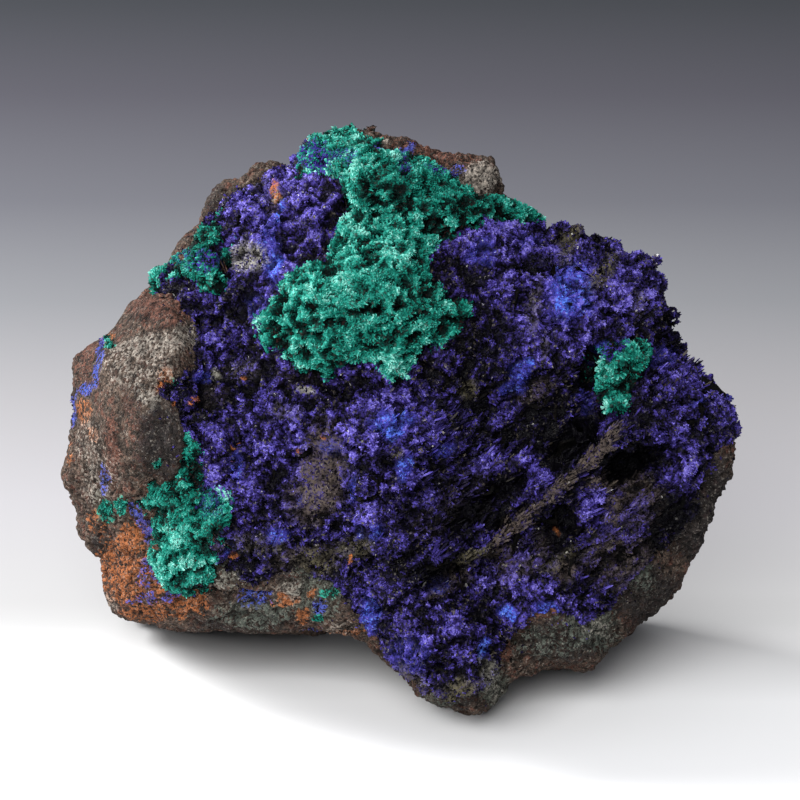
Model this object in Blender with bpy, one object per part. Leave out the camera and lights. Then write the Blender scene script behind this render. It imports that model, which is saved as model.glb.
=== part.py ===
# A cabinet specimen of azurite with malachite, grown on one chunk of brown limonite rock.
# It stands on the flats of its underside and leans back, with its crystal face to the front (-Y).
# Lengths in the tables are millimetres. The objects are made in metres, with +Z up.
import math

import bmesh
import bpy
import numpy as np
from mathutils import Vector, kdtree, noise

# Driving dimensions
MM = 0.001
LEAN = math.radians(20)  # how far the broad face leans back from upright
CENTRE_HEIGHT = 55.5  # the middle of the broad face, above the surface it stands on
FRONT_BULGE = 29.0  # how far the front and the back swell out from the rim
BACK_BULGE = 42.0
FRONT_PILLOW = 2.5  # exponent of the swell: 2 is an ellipsoid, more is boxier
BACK_PILLOW = 3.4
CHUNK = 10.0  # how crisply the broken planes cut the swell

RIM_HOLD = 5  # how closely the swell keeps to the rim: more confines it to the rim itself

CRUST_DEPTH = 2.0  # thickness of the crystal crusts
CRUST_EDGE = 1.3  # and at their borders
SEAM = 0.45  # clearance under and between the crusts
FRONT_SPACING = 3.6  # between the points of the front and of the back
BACK_SPACING = 5.6
OUTLINE_SPACING = 2.7
OUTLINE_GAP = 1.2  # a crust's outline is left out this close to the crust that lies over it
MALACHITE_SPACING = 2.7
SURVEY_DIRECTIONS = 30000  # how many ways out of the middle are tried for a point
AIM_STEPS = 14  # tries at meeting a place of an outline, and how near is near enough
AIM_MISS = 0.3
FINGER_PASSES = 4
VIEW_DISTANCE = 600.0  # the rim is the outline seen from this far in front

# Roughness. A noise of a given width has rises of about half its height either way.
CREST_HEIGHT = 8.5  # sharp crests and creases between the broken faces of the back
CREST_WIDTH = 25.0
CREASE_HEIGHT = 5.5
CREASE_WIDTH = 16.0
BREAK_LEVEL = 0.20  # usual size of the noise, taken off so that the breaks add no bulk
LARGE_LUMP = 1.4
LARGE_LUMP_WIDTH = 13.0
SMALL_LUMP = 0.9
SMALL_LUMP_WIDTH = 6.0
PLATE_SMOOTHNESS = 0.75  # share of the lumps that the bare plate lacks
UPRIGHT_REACH = 0.75  # share of the rim's distance out to which a crust is laid straight out

# The rim as it is seen square on to the broad face: (across, up) from the middle.
# It starts at the peak and runs clockwise.
RIM = (
    (-9.5, 58.5), (-5.0, 58.0), (0.0, 55.0), (5.0, 52.5), (9.5, 52.0), (14.0, 51.5),
    (18.5, 51.0), (19.5, 48.0), (20.5, 44.0), (24.0, 41.5), (28.0, 38.5), (32.0, 37.0),
    (35.5, 36.0), (39.5, 36.5), (41.0, 33.5), (45.0, 32.0), (50.0, 32.0), (52.0, 29.5),
    (52.5, 26.0), (53.0, 22.5), (55.0, 17.0), (56.5, 12.5), (58.5, 9.0), (61.5, 6.0),
    (65.5, 2.5), (67.5, -1.0), (67.5, -5.0), (66.5, -9.0), (65.5, -14.0), (63.5, -15.0),
    (63.5, -20.0), (61.5, -24.0), (59.0, -27.0), (56.5, -29.5), (55.5, -34.5),
    (52.5, -36.5), (50.0, -39.5), (47.5, -40.5), (45.0, -44.0), (41.0, -45.0),
    (40.0, -49.0), (38.0, -50.5), (34.5, -50.0), (28.0, -50.5), (21.5, -52.0),
    (20.0, -55.5), (15.5, -59.5), (11.0, -58.0), (6.0, -56.5), (2.0, -54.0),
    (0.5, -51.5), (-2.5, -48.5), (-5.0, -46.0), (-8.5, -44.5), (-13.0, -45.0),
    (-17.0, -44.0), (-20.0, -42.5), (-31.0, -42.5), (-37.0, -42.0), (-42.0, -42.5),
    (-45.5, -42.5), (-50.0, -40.5), (-54.0, -40.5), (-56.5, -39.5), (-58.5, -36.5),
    (-58.5, -32.0), (-59.5, -28.0), (-62.5, -25.0), (-64.5, -21.0), (-66.0, -17.0),
    (-67.0, -13.5), (-67.5, -9.5), (-67.0, -5.0), (-66.5, 0.0), (-66.0, 4.0),
    (-65.0, 7.0), (-65.0, 11.5), (-61.0, 14.5), (-57.0, 17.0), (-55.5, 19.5),
    (-53.5, 23.0), (-51.0, 26.0), (-50.0, 28.0), (-47.0, 29.5), (-44.5, 30.5),
    (-44.0, 34.0), (-41.0, 36.5), (-39.0, 40.0), (-38.0, 44.5), (-35.0, 46.5),
    (-30.0, 49.0), (-26.0, 50.5), (-23.0, 50.5), (-20.5, 52.0), (-18.0, 56.0),
    (-14.0, 57.0),
)

# Broken planes that cut the swell: outward direction (across, up, out) and distance.
BROKEN_PLANES = (
    ((0.05, 0.10, 1.0), 28.0),  # crystal face
    ((-0.80, 0.20, 0.75), 46.0),  # left flank, with the bare plate
    ((-0.45, -0.60, 0.70), 46.0),  # rusty lower left
    ((0.70, -0.60, 0.40), 57.0),  # bare broken edge, lower right
    ((0.55, 0.50, 0.70), 46.0),  # upper right shoulder
    ((-0.20, 0.85, 0.55), 49.0),  # slope below the peak
    ((0.15, 0.10, -1.0), 37.0),  # back
    ((-0.75, 0.15, -0.70), 49.0),  # back left
    ((0.80, 0.10, -0.60), 53.0),  # back right
    ((0.10, 0.80, -0.70), 46.0),  # back of the top
    ((-0.35, 0.65, -0.70), 47.0),
    ((0.60, 0.60, -0.60), 49.0),
    ((0.05, -0.85, -0.45), 56.0),  # underside
)

# Large swells and hollows outside the front: name, direction (across, up, out), spread in
# degrees, and how far they raise or sink the surface, as a share of its distance.
SWELLS = (
    ("left_heel", (-46, -44, -42), 21, 0.36),
    ("right_heel", (38, -45, -42), 21, 0.29),
    ("foot_sole", (15, -59, -8), 10, 0.08),
    ("underside_hollow", (2, -50, -26), 15, -0.08),
    ("back_ledge", (-38, 22, -36), 17, 0.09),
    ("back_hollow", (14, 6, -42), 20, -0.13),
    ("back_corner", (50, 14, -34), 15, 0.10),
    ("upper_back_hollow", (12, 44, -26), 13, -0.09),
    ("left_back_hollow", (-58, -8, -28), 16, -0.13),
)

# Relief of the front: name, middle (across, up), half lengths, turn in degrees, rise,
# and how steep its sides are (2 is a soft hill, 4 and more a step).
RELIEF = (
    ("bare_plate", (-50.0, 6.0), (10.5, 22.0), -12, 4.5, 6),
    ("dip_by_plate", (-33.0, 2.0), (6.0, 18.0), 5, -4.0, 2),
    ("dark_pocket_upper_left", (-36.0, 15.0), (5.0, 6.0), 0, -3.0, 2),
    ("malachite_mass", (-7.0, 21.0), (19.0, 12.0), 8, 6.0, 3),
    ("malachite_upper", (-2.0, 43.0), (14.0, 8.0), -20, 3.0, 2),
    ("malachite_pocket", (-5.0, 38.0), (3.5, 4.0), 0, -4.0, 2),
    ("gap_under_malachite", (-12.0, 6.0), (13.0, 3.0), -8, -3.5, 2),
    ("ridge_to_foot", (-1.0, -22.0), (9.0, 26.0), 12, 8.0, 2),
    ("foot", (9.0, -49.0), (11.0, 9.0), 0, 9.0, 3),
    ("bright_knob", (0.0, -5.0), (7.0, 6.0), 0, 3.0, 2),
    ("cavern_left", (21.0, -25.0), (14.0, 4.5), 38, -9.0, 3),
    ("cavern_right", (45.0, -11.0), (12.0, 5.0), 28, -9.0, 3),
    ("grey_rib", (36.0, -11.0), (24.0, 2.6), 42, 4.5, 3),
    ("upper_right_swell", (31.0, 25.0), (17.0, 10.0), -15, 4.5, 2),
    ("right_knob", (50.0, 24.0), (5.5, 7.0), 0, 3.5, 3),
    ("dark_hole_by_tuft", (37.5, 9.0), (2.8, 5.5), 0, -6.0, 3),
    ("tuft_seat", (42.0, 8.0), (5.5, 6.0), 0, 3.0, 3),
    ("right_mass", (57.0, 0.0), (9.0, 9.0), -30, 4.0, 3),
    ("lower_right_shelf", (34.0, -43.0), (13.0, 6.5), 8, 2.0, 2),
    ("dark_valley", (17.0, -3.0), (6.0, 9.0), 30, -3.5, 2),
    ("middle_knob", (20.0, 17.0), (7.0, 6.0), 0, 3.0, 2),
    ("rust_corner", (-47.0, -34.0), (9.0, 7.0), 0, 3.0, 3),
    ("dark_band", (-20.0, -35.0), (13.0, 3.0), 4, -2.5, 2),
    ("top_block", (16.5, 48.0), (5.0, 4.5), -10, 3.0, 4),
    ("top_left_shoulder", (-34.0, 41.0), (6.0, 6.0), 40, 2.0, 2),
)

# Where each crust grew on the front, as (across, up) outlines. An earlier one lies over a later one.
CRUSTS = {
    "malachite_main": (
        (-16.0, 55.0), (-9.5, 59.5), (-4.0, 57.0), (0.0, 53.0), (7.0, 49.0), (14.0, 45.0),
        (23.0, 41.0), (28.5, 38.5), (18.0, 38.0), (12.0, 35.5), (6.5, 32.0), (5.5, 27.0),
        (10.0, 23.0), (13.5, 21.0), (12.5, 17.0), (8.0, 14.0), (4.0, 13.0), (1.0, 9.5),
        (-1.0, 6.0), (-4.5, 10.5), (-10.0, 10.5), (-14.0, 7.5), (-19.0, 8.5),
        (-22.5, 12.0), (-26.0, 13.5), (-26.5, 20.0), (-22.5, 25.5), (-17.5, 29.0),
        (-13.5, 31.0), (-12.5, 36.0), (-10.0, 40.0), (-12.0, 43.0), (-11.0, 46.0),
        (-15.0, 47.5), (-20.5, 46.5), (-20.0, 50.5),
    ),
    "malachite_lower": (
        (-44.0, -0.5), (-41.0, -2.5), (-38.5, -7.5), (-37.0, -13.5), (-32.0, -17.5),
        (-32.0, -23.0), (-35.5, -26.5), (-37.5, -33.5), (-42.0, -35.5), (-46.0, -33.0),
        (-49.0, -27.5), (-47.5, -22.0), (-50.0, -17.5), (-47.5, -13.0), (-44.0, -9.5),
        (-45.5, -5.0),
    ),
    "malachite_tuft": (
        (36.5, 9.0), (38.5, 13.0), (42.0, 15.0), (47.0, 14.5), (49.5, 11.0),
        (46.0, 7.5), (43.5, 2.0), (40.0, 1.0), (37.5, 4.5),
    ),
    "malachite_left_sprays": (
        (-52.0, 29.5), (-47.5, 31.0), (-43.0, 30.0), (-40.0, 34.5), (-38.0, 38.0),
        (-34.5, 37.0), (-33.0, 31.0), (-34.0, 25.5), (-38.0, 23.5), (-42.0, 26.5),
        (-47.0, 26.5), (-50.0, 26.0),
    ),
    "azurite": (
        (-21.0, 52.0), (-15.0, 58.0), (0.0, 51.0), (9.0, 46.5), (21.0, 42.0), (33.0, 39.0),
        (41.0, 38.0), (53.0, 34.0), (57.0, 22.0), (61.0, 13.0), (70.0, 3.0), (69.5, -3.0),
        (63.0, -6.0), (60.5, -12.0), (58.0, -19.0), (52.0, -26.0), (45.0, -31.5),
        (41.0, -37.5), (35.0, -40.0), (29.0, -37.0), (24.0, -40.0), (20.5, -45.0),
        (18.5, -50.0), (15.0, -55.0), (10.0, -55.5), (3.0, -53.0), (0.0, -50.0),
        (-4.0, -45.0), (-8.0, -38.5), (-13.0, -32.5), (-21.0, -30.0), (-28.5, -32.0),
        (-34.0, -30.0), (-35.0, -27.0), (-31.5, -23.0), (-31.5, -17.0), (-37.0, -13.0),
        (-39.5, -8.0), (-43.5, -1.0), (-46.0, 5.5), (-39.5, 9.0), (-39.0, 14.0),
        (-40.0, 19.0), (-43.0, 23.5), (-47.5, 26.0), (-43.5, 31.0), (-39.5, 35.5),
        (-36.5, 41.0), (-33.5, 44.0), (-27.5, 47.5),
    ),
}
WRAP = 0.16  # how far round the rim a crust reaches: the height below the rim, of a unit ball
WRAP_RAGGED = 0.22  # how uneven that border is, and the width of its bays
WRAP_BAY = 9.0
MALACHITE_EDGE = 0.4  # how far the malachite stands over the crystals around it, at its border
MALACHITE_RISE = 3.0  # and further in
MALACHITE_LUMP = 2.4
MALACHITE_LUMP_WIDTH = 4.5
MALACHITE_SLOPE = 3.0  # width of the slope at its border
AZURITE_KNOB = 3.2  # height of the rounded clusters that the crystals grow in
AZURITE_KNOB_WIDTH = 8.5
AZURITE_KNOB_LEVEL = 0.22
AZURITE_SLOPE = 4.0
RIM_ROUNDING = 0.4  # how far the crystals draw back at the rim, and over what width
RIM_ROUNDING_WIDTH = 2.0
LARGEST_FACE = 13.0  # square millimetres; a crystal on a larger face would look like a slab
CRYSTAL_TURN = 9.0  # width over which neighbouring crystals stay turned alike
WORN_LENGTH = 0.55  # share of its length that a crystal keeps where the rock turns away

# Crystals: share of a crust's faces that carry one, length, width and thickness at the tip
# as shares of the face under it, and how far they lean.
AZURITE_CRYSTALS = {"share": 0.50, "length": (1.6, 3.4), "wide": 0.45, "thick": 0.20, "lean": 0.50}
MALACHITE_SPRAYS = {"share": 0.50, "length": (1.0, 2.2), "wide": 0.35, "thick": 0.25, "lean": 0.60}


def clear_scene():
    for obj in list(bpy.data.objects):
        bpy.data.objects.remove(obj, do_unlink=True)


def make_material(name, colour, roughness):
    material = bpy.data.materials.new(name)
    material.use_nodes = True
    shader = material.node_tree.nodes["Principled BSDF"]
    shader.inputs["Base Color"].default_value = (*colour, 1.0)
    shader.inputs["Roughness"].default_value = roughness
    shader.inputs["Metallic"].default_value = 0.0
    material.diffuse_color = (*colour, 1.0)
    return material


def to_world(across, up, out):
    """A place on the leaning face, in millimetres, as metres in the upright frame."""
    back = up * math.sin(LEAN) - out * math.cos(LEAN)
    height = CENTRE_HEIGHT + up * math.cos(LEAN) + out * math.sin(LEAN)
    return Vector((across, back, height)) * MM


def outline_offset(outline, x, y):
    """Distance to a closed outline in its plane, positive inside."""
    corners = np.array(outline)
    ends = np.roll(corners, -1, axis=0)
    along = ends - corners
    place = np.array((x, y))
    share = ((place - corners) * along).sum(1) / (along**2).sum(1)
    nearest = corners + along * np.clip(share, 0, 1)[:, None]
    gap = np.hypot(*(nearest - place).T).min()
    crosses = (corners[:, 1] > y) != (ends[:, 1] > y)
    rise = np.where(along[:, 1] == 0, 1.0, along[:, 1])
    left_of = x < corners[:, 0] + along[:, 0] * (y - corners[:, 1]) / rise
    inside = np.count_nonzero(crosses & left_of) % 2 == 1
    return gap if inside else -gap


def malachite_offset(x, y):
    """The same for the nearest of the malachite growths."""
    return max(outline_offset(line, x, y) for name, line in CRUSTS.items() if name != "azurite")


rim_angles = np.array([math.atan2(up, across) for across, up in RIM])
rim_reach = np.array([math.hypot(across, up) for across, up in RIM])
rim_order = np.argsort(rim_angles)
planes = [(Vector(normal).normalized(), distance) for normal, distance in BROKEN_PLANES]
swells = [(Vector(way).normalized(), math.radians(s), share) for _, way, s, share in SWELLS]


def rim_radius(angle):
    return np.interp(angle, rim_angles[rim_order], rim_reach[rim_order], period=2 * math.pi)


def pillow_radius(direction, rim):
    """Distance from the middle to a pillow of the rim's outline, cut by the broken planes."""
    flat = math.hypot(direction.x, direction.y)
    bulge, pillow = (FRONT_BULGE, FRONT_PILLOW) if direction.z > 0 else (BACK_BULGE, BACK_PILLOW)
    swell = ((flat / rim) ** pillow + (abs(direction.z) / bulge) ** pillow) ** (CHUNK / pillow)
    for normal, distance in planes:
        facing = normal.dot(direction)
        if facing > 0:
            swell += (facing / distance) ** CHUNK
    return swell ** (-1 / CHUNK)


def chunk_radius(direction):
    """Distance from the middle to the rock's smooth form, whose rim stays where the table has it."""
    flat = math.hypot(direction.x, direction.y)
    rim = float(rim_radius(math.atan2(direction.y, direction.x)))
    level = Vector((direction.x, direction.y, 0)).normalized() if flat > 0 else Vector((1, 0, 0))
    restored = (rim / pillow_radius(level, rim)) ** (flat**RIM_HOLD)
    pull = 1.0
    for way, spread, share in swells:
        pull += share * math.exp(-((direction.angle(way) / spread) ** 2))
    return pillow_radius(direction, rim) * restored * pull


def relief_at(across, up):
    """Sum of the named hills and hollows at a place on the front."""
    total = 0.0
    for _, middle, halves, turn, rise, steepness in RELIEF:
        angle = math.radians(turn)
        x, y = across - middle[0], up - middle[1]
        along = (x * math.cos(angle) + y * math.sin(angle)) / halves[0]
        beside = (-x * math.sin(angle) + y * math.cos(angle)) / halves[1]
        total += rise * math.exp(-((along**2 + beside**2) ** (steepness / 2)))
    return total


def broken_faces(place):
    """Sharp crests and creases between broader faces, as a hammer leaves them."""
    crests = CREST_HEIGHT * (BREAK_LEVEL - abs(noise.noise(place / CREST_WIDTH)))
    elsewhere = Vector((5, 9, 2))
    creases = CREASE_HEIGHT * (abs(noise.noise(place / CREASE_WIDTH + elsewhere)) - BREAK_LEVEL)
    return crests + creases


def roughness_at(place, frontness, bareness):
    """Uneven surface: blocky breaks on the back, smaller lumps in front, little on the bare plate."""
    elsewhere = Vector((7, 3, 1))
    lumps = LARGE_LUMP * noise.noise(place / LARGE_LUMP_WIDTH)
    lumps += SMALL_LUMP * noise.noise(place / SMALL_LUMP_WIDTH + elsewhere)
    return lumps * (1 - PLATE_SMOOTHNESS * bareness) + broken_faces(place) * (1 - frontness)


def drop_direction(direction, place):
    """The way in which crusts are laid: straight out over the front, and outward at the rim."""
    if direction.z <= 0:
        return direction
    reach = place.xy.length
    near_rim = reach / rim_radius(math.atan2(place.y, place.x))
    turned = min(max((near_rim - UPRIGHT_REACH) / (1 - UPRIGHT_REACH), 0.0), 1.0) ** 2
    outward = Vector((place.x, place.y, 0)) * turned / max(reach, 1.0)
    return (outward + Vector((0, 0, 1 - turned))).normalized()


def skin_at(direction):
    """A point of the rock's whole surface, crusts included, on the leaning face's axes,
    and the way in which a crust is laid there.
    """
    place = direction * chunk_radius(direction)
    way = drop_direction(direction, place)
    frontness = min(max((direction.z + 0.05) / 0.20, 0.0), 1.0)
    plate = RELIEF[0]
    near_plate = Vector((place.x - plate[1][0], place.y - plate[1][1])).length / plate[2][1]
    bareness = math.exp(-(near_plate**4)) * frontness
    place = place + Vector((0, 0, relief_at(place.x, place.y) * frontness))
    place = place + way * roughness_at(place, frontness, bareness)
    reach = place.xy.length
    outline = rim_radius(math.atan2(place.y, place.x)) * (1 - place.z / VIEW_DISTANCE)
    kept = min(outline / reach, 1.0)
    return Vector((place.x * kept, place.y * kept, place.z)), way


def survey_directions():
    """Evenly spread ways out of the middle, along a spiral from the front to the back."""
    golden = math.pi * (3 - math.sqrt(5))
    found = []
    for i in range(SURVEY_DIRECTIONS):
        height = 1 - 2 * (i + 0.5) / SURVEY_DIRECTIONS
        flat = math.sqrt(1 - height**2)
        found.append(Vector((flat * math.cos(i * golden), flat * math.sin(i * golden), height)))
    return found


def direction_to(across, up):
    """The way out of the middle that meets the front at a place of an outline, if any does."""
    direction = Vector((across, up, FRONT_BULGE / 2)).normalized()
    for _ in range(AIM_STEPS):
        here, _ = skin_at(direction)
        miss = Vector((across - here.x, up - here.y, 0))
        direction = (direction + miss / here.length).normalized()
    return direction if miss.length < AIM_MISS and direction.z > 0 else None


def outline_directions():
    """Ways out to points along the crusts' outlines, so that the crusts end on clean lines."""
    found = []
    names = list(CRUSTS)
    for place_in_order, name in enumerate(names):
        corners = [Vector(corner) for corner in CRUSTS[name]]
        for start, end in zip(corners, corners[1:] + corners[:1]):
            steps = max(round((end - start).length / OUTLINE_SPACING), 1)
            for step in range(steps):
                point = start.lerp(end, step / steps)
                over = names[:place_in_order]
                if any(outline_offset(CRUSTS[other], *point) > -OUTLINE_GAP for other in over):
                    continue
                direction = direction_to(*point)
                if direction:
                    found.append(direction)
    return found


def choose_directions():
    """Points for the surface: first along the outlines, then wherever there is room for one."""
    outlines = outline_directions()
    candidates = outlines + survey_directions()
    places = [skin_at(d)[0] for d in candidates]
    tree = kdtree.KDTree(len(places))
    for i, place in enumerate(places):
        tree.insert(place, i)
    tree.balance()
    chosen, crowded = [], set()
    for i, direction in enumerate(candidates):
        if i in crowded:
            continue
        chosen.append(direction)
        frontness = min(max((direction.z + 0.30) / 0.35, 0.0), 1.0)
        on_malachite = frontness == 1 and malachite_offset(places[i].x, places[i].y) > 0
        front_room = MALACHITE_SPACING if on_malachite else FRONT_SPACING
        room = BACK_SPACING + (front_room - BACK_SPACING) * frontness
        on_outline = i < len(outlines)
        for _, near, distance in tree.find_range(places[i], room):
            if near >= len(outlines) or (on_outline and distance < 0.7 * OUTLINE_SPACING):
                crowded.add(near)
    return chosen


def join_directions(directions):
    """Triangles between the points of a unit ball: its hull."""
    ball = bmesh.new()
    for direction in directions:
        ball.verts.new(direction)
    ball.verts.index_update()
    bmesh.ops.convex_hull(ball, input=ball.verts)
    bmesh.ops.recalc_face_normals(ball, faces=ball.faces)
    triangles = [tuple(v.index for v in face.verts) for face in ball.faces]
    ball.free()
    return triangles


def assign_crusts(directions, places, triangles):
    """Which crust, if any, each triangle belongs to."""
    owners = []
    for triangle in triangles:
        middle = sum((places[i] for i in triangle), Vector()) / 3
        facing = min(directions[i].z for i in triangle)
        ragged = WRAP_RAGGED * noise.noise(middle / WRAP_BAY)
        owner = None
        if facing + ragged > -WRAP:
            for name, outline in CRUSTS.items():
                if outline_offset(outline, middle.x, middle.y) > 0:
                    owner = name
                    break
        owners.append(owner)
    return owners


def trim_fingers(places, triangles, owners):
    """Behind the rim a crust has no thin fingers: triangles with two open edges go bare."""
    by_edge = {}
    for i, t in enumerate(triangles):
        for a, b in zip(t, t[1:] + t[:1]):
            by_edge.setdefault(frozenset((a, b)), []).append(i)
    for _ in range(FINGER_PASSES):
        trimmed = []
        for i, t in enumerate(triangles):
            if owners[i] is None or min(places[point].z for point in t) > 0:
                continue
            beside = [j for a, b in zip(t, t[1:] + t[:1]) for j in by_edge[frozenset((a, b))] if j != i]
            if sum(owners[j] is None for j in beside) >= 2:
                trimmed.append(i)
        for i in trimmed:
            owners[i] = None
    return owners


def keep_largest_patch(triangles, owners):
    """Each crust is one piece: triangles of a crust that don't join its main patch go bare."""
    for name in CRUSTS:
        left = {i for i, owner in enumerate(owners) if owner == name}
        by_edge = {}
        for i in left:
            t = triangles[i]
            for a, b in zip(t, t[1:] + t[:1]):
                by_edge.setdefault(frozenset((a, b)), []).append(i)
        patches = []
        while left:
            patch, todo = set(), [min(left)]
            while todo:
                i = todo.pop()
                if i in patch:
                    continue
                patch.add(i)
                t = triangles[i]
                for a, b in zip(t, t[1:] + t[:1]):
                    todo += [j for j in by_edge[frozenset((a, b))] if j not in patch]
            left -= patch
            patches.append(patch)
        patches.sort(key=len)
        for patch in patches[:-1]:
            for i in patch:
                owners[i] = None
    return owners


def border_points(triangles):
    """Points on the open border of a patch."""
    count = {}
    for t in triangles:
        for a, b in zip(t, t[1:] + t[:1]):
            edge = frozenset((a, b))
            count[edge] = count.get(edge, 0) + 1
    return {i for edge, uses in count.items() if uses == 1 for i in edge}


def open_pinches(triangles, owners):
    """Where a crust would touch itself at a single point, its triangles around that point go bare."""
    pinched = False
    for name in CRUSTS:
        patch = {i for i, owner in enumerate(owners) if owner == name}
        count = {}
        for i in patch:
            t = triangles[i]
            for a, b in zip(t, t[1:] + t[:1]):
                edge = frozenset((a, b))
                count[edge] = count.get(edge, 0) + 1
        borders_at = {}
        for edge, uses in count.items():
            for point in edge:
                borders_at[point] = borders_at.get(point, 0) + (uses == 1)
        for i in patch:
            if any(borders_at[point] > 2 for point in triangles[i]):
                owners[i] = None
                pinched = True
    return pinched


def finish_object(name, mesh_data, material, collection):
    mesh = bpy.data.meshes.new(name)
    mesh_data.to_mesh(mesh)
    mesh_data.free()
    mesh.materials.append(material)
    obj = bpy.data.objects.new(name, mesh)
    collection.objects.link(obj)
    return obj


def build_matrix(places, ways, depths, triangles, material, collection):
    """The rock itself, sunk under each crust by that crust's thickness and the seam."""
    shape = bmesh.new()
    points = []
    for place, way, depth in zip(places, ways, depths):
        low = place - way * depth
        point = to_world(*low)
        point.z = max(point.z, 0.0)
        points.append(shape.verts.new(point))
    for triangle in triangles:
        shape.faces.new([points[i] for i in triangle])
    bmesh.ops.recalc_face_normals(shape, faces=shape.faces)
    return finish_object("matrix", shape, material, collection)


def inset_border(places, patch, border):
    """Draws a patch's border points a little inwards, to leave a seam beside its neighbour."""
    middles = {}
    for t in patch:
        middle = sum((places[i] for i in t), Vector()) / 3
        for i in t:
            if i in border:
                middles.setdefault(i, []).append(middle)
    moved = {}
    for i, found in middles.items():
        inward = sum(found, Vector()) / len(found) - places[i]
        moved[i] = places[i] + inward.normalized() * SEAM
    return moved


def build_crust(places, ways, patch, heights, depths):
    """A closed crust: its top, an underside that follows the rock, and the edge between."""
    border = border_points(patch)
    used = sorted({i for t in patch for i in t})
    at = dict(zip(used, (places[i] for i in used)))
    at.update(inset_border(places, patch, border))
    shape = bmesh.new()
    number = shape.verts.layers.int.new("number")
    top = {i: shape.verts.new(to_world(*(at[i] + ways[i] * heights[i]))) for i in used}
    for i, vertex in top.items():
        vertex[number] = i
    faces = [shape.faces.new([top[i] for i in t]) for t in patch]
    grown = bmesh.ops.extrude_face_region(shape, geom=faces, use_keep_orig=True)
    for vertex in grown["geom"]:
        if isinstance(vertex, bmesh.types.BMVert):
            i = vertex[number]
            lift = SEAM * (2 if i in border else 1)
            vertex.co = to_world(*(at[i] - ways[i] * (depths[i] - lift)))
    bmesh.ops.recalc_face_normals(shape, faces=shape.faces)
    shape.verts.index_update()
    shape.edges.index_update()
    inner = [face for face, t in zip(faces, patch) if not border & set(t)]
    return shape, inner


def grow_crystals(shape, faces, habit, seed):
    """Raises a blade with a narrow flat tip on a share of the faces, no two of them side by side."""
    rng = np.random.default_rng(seed)
    outward = Vector((0, -math.cos(LEAN), math.sin(LEAN)))
    taken = set()
    chosen = []
    for face in faces:
        edges = {edge.index for edge in face.edges}
        small = face.calc_area() < LARGEST_FACE * MM**2
        if rng.random() < habit["share"] and small and not edges & taken:
            taken |= edges
            chosen.append(face)
    raised = bmesh.ops.extrude_discrete_faces(shape, faces=chosen)["faces"]
    for face in raised:
        face.normal_update()
        middle = face.calc_center_median()
        across = face.normal.cross(noise.noise_vector(middle / MM / CRYSTAL_TURN)).normalized()
        along = face.normal.cross(across)
        way = (face.normal + Vector(rng.uniform(-1, 1, 3)) * habit["lean"]).normalized()
        facing = min(max(face.normal.dot(outward) * 1.5, 0.0), 1.0)
        worn = WORN_LENGTH + (1 - WORN_LENGTH) * facing
        tip = middle + way * rng.uniform(*habit["length"]) * worn * MM
        for vertex in face.verts:
            offset = vertex.co - middle
            wide = across * offset.dot(across) * habit["wide"]
            thick = along * offset.dot(along) * habit["thick"]
            vertex.co = tip + wide + thick
            vertex.co.z = max(vertex.co.z, SEAM * MM)


def crust_heights(name, outline, places, used, border):
    """How far the top of a crust stands over the rock's skin at each of its points."""
    heights = {}
    for i in used:
        place = places[i]
        rim_gap = rim_radius(math.atan2(place.y, place.x)) - place.xy.length
        inside = max(min(outline_offset(outline, place.x, place.y), rim_gap - 1.0), 0.0)
        if name.startswith("malachite"):
            dome = MALACHITE_RISE * (1 - math.exp(-inside / MALACHITE_SLOPE))
            lump = MALACHITE_LUMP * noise.noise(place / MALACHITE_LUMP_WIDTH)
            heights[i] = MALACHITE_EDGE + dome + lump * min(inside / MALACHITE_SLOPE, 1.0)
        else:
            knob = AZURITE_KNOB * (abs(noise.noise(place / AZURITE_KNOB_WIDTH)) - AZURITE_KNOB_LEVEL)
            heights[i] = 0.0 if i in border else knob * min(inside / AZURITE_SLOPE, 1.0)
            heights[i] -= RIM_ROUNDING * math.exp(-max(rim_gap, 0.0) / RIM_ROUNDING_WIDTH)
    return heights


def stand_on_origin(objects):
    """Puts the origin under the middle of the whole specimen."""
    corners = np.array([v.co for obj in objects for v in obj.data.vertices])
    middle = (corners.min(0) + corners.max(0)) / 2
    for obj in objects:
        for vertex in obj.data.vertices:
            vertex.co -= Vector((middle[0], middle[1], 0))
        obj.data.update()


def main():
    clear_scene()
    collection = bpy.data.collections.new("azurite_with_malachite")
    bpy.context.scene.collection.children.link(collection)
    materials = {
        "matrix": make_material("limonite", (0.16, 0.115, 0.09), 0.85),
        "azurite": make_material("azurite", (0.035, 0.028, 0.22), 0.30),
        "malachite": make_material("malachite", (0.03, 0.30, 0.20), 0.55),
    }
    directions = choose_directions()
    triangles = join_directions(directions)
    places, ways = zip(*(skin_at(d) for d in directions))
    owners = trim_fingers(places, triangles, assign_crusts(directions, places, triangles))
    owners = keep_largest_patch(triangles, owners)
    while open_pinches(triangles, owners):
        owners = keep_largest_patch(triangles, owners)

    patches = {name: [t for t, o in zip(triangles, owners) if o == name] for name in CRUSTS}
    borders = {name: border_points(patch) for name, patch in patches.items()}
    depths = np.zeros(len(places))
    for name, patch in patches.items():
        for i in {i for t in patch for i in t}:
            depths[i] = (CRUST_EDGE if i in borders[name] else CRUST_DEPTH) + SEAM

    objects = [build_matrix(places, ways, depths, triangles, materials["matrix"], collection)]
    for seed, (name, patch) in enumerate(patches.items()):
        used = {i for t in patch for i in t}
        heights = crust_heights(name, CRUSTS[name], places, used, borders[name])
        shape, faces = build_crust(places, ways, patch, heights, depths)
        if name == "azurite":
            grow_crystals(shape, faces, AZURITE_CRYSTALS, seed)
            material = materials["azurite"]
        else:
            grow_crystals(shape, faces, MALACHITE_SPRAYS, seed)
            material = materials["malachite"]
        objects.append(finish_object(name, shape, material, collection))
    stand_on_origin(objects)


main()
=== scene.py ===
# Azurite with malachite: the finish of a cabinet specimen, with its floor, lights and camera
import itertools
import math

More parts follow.
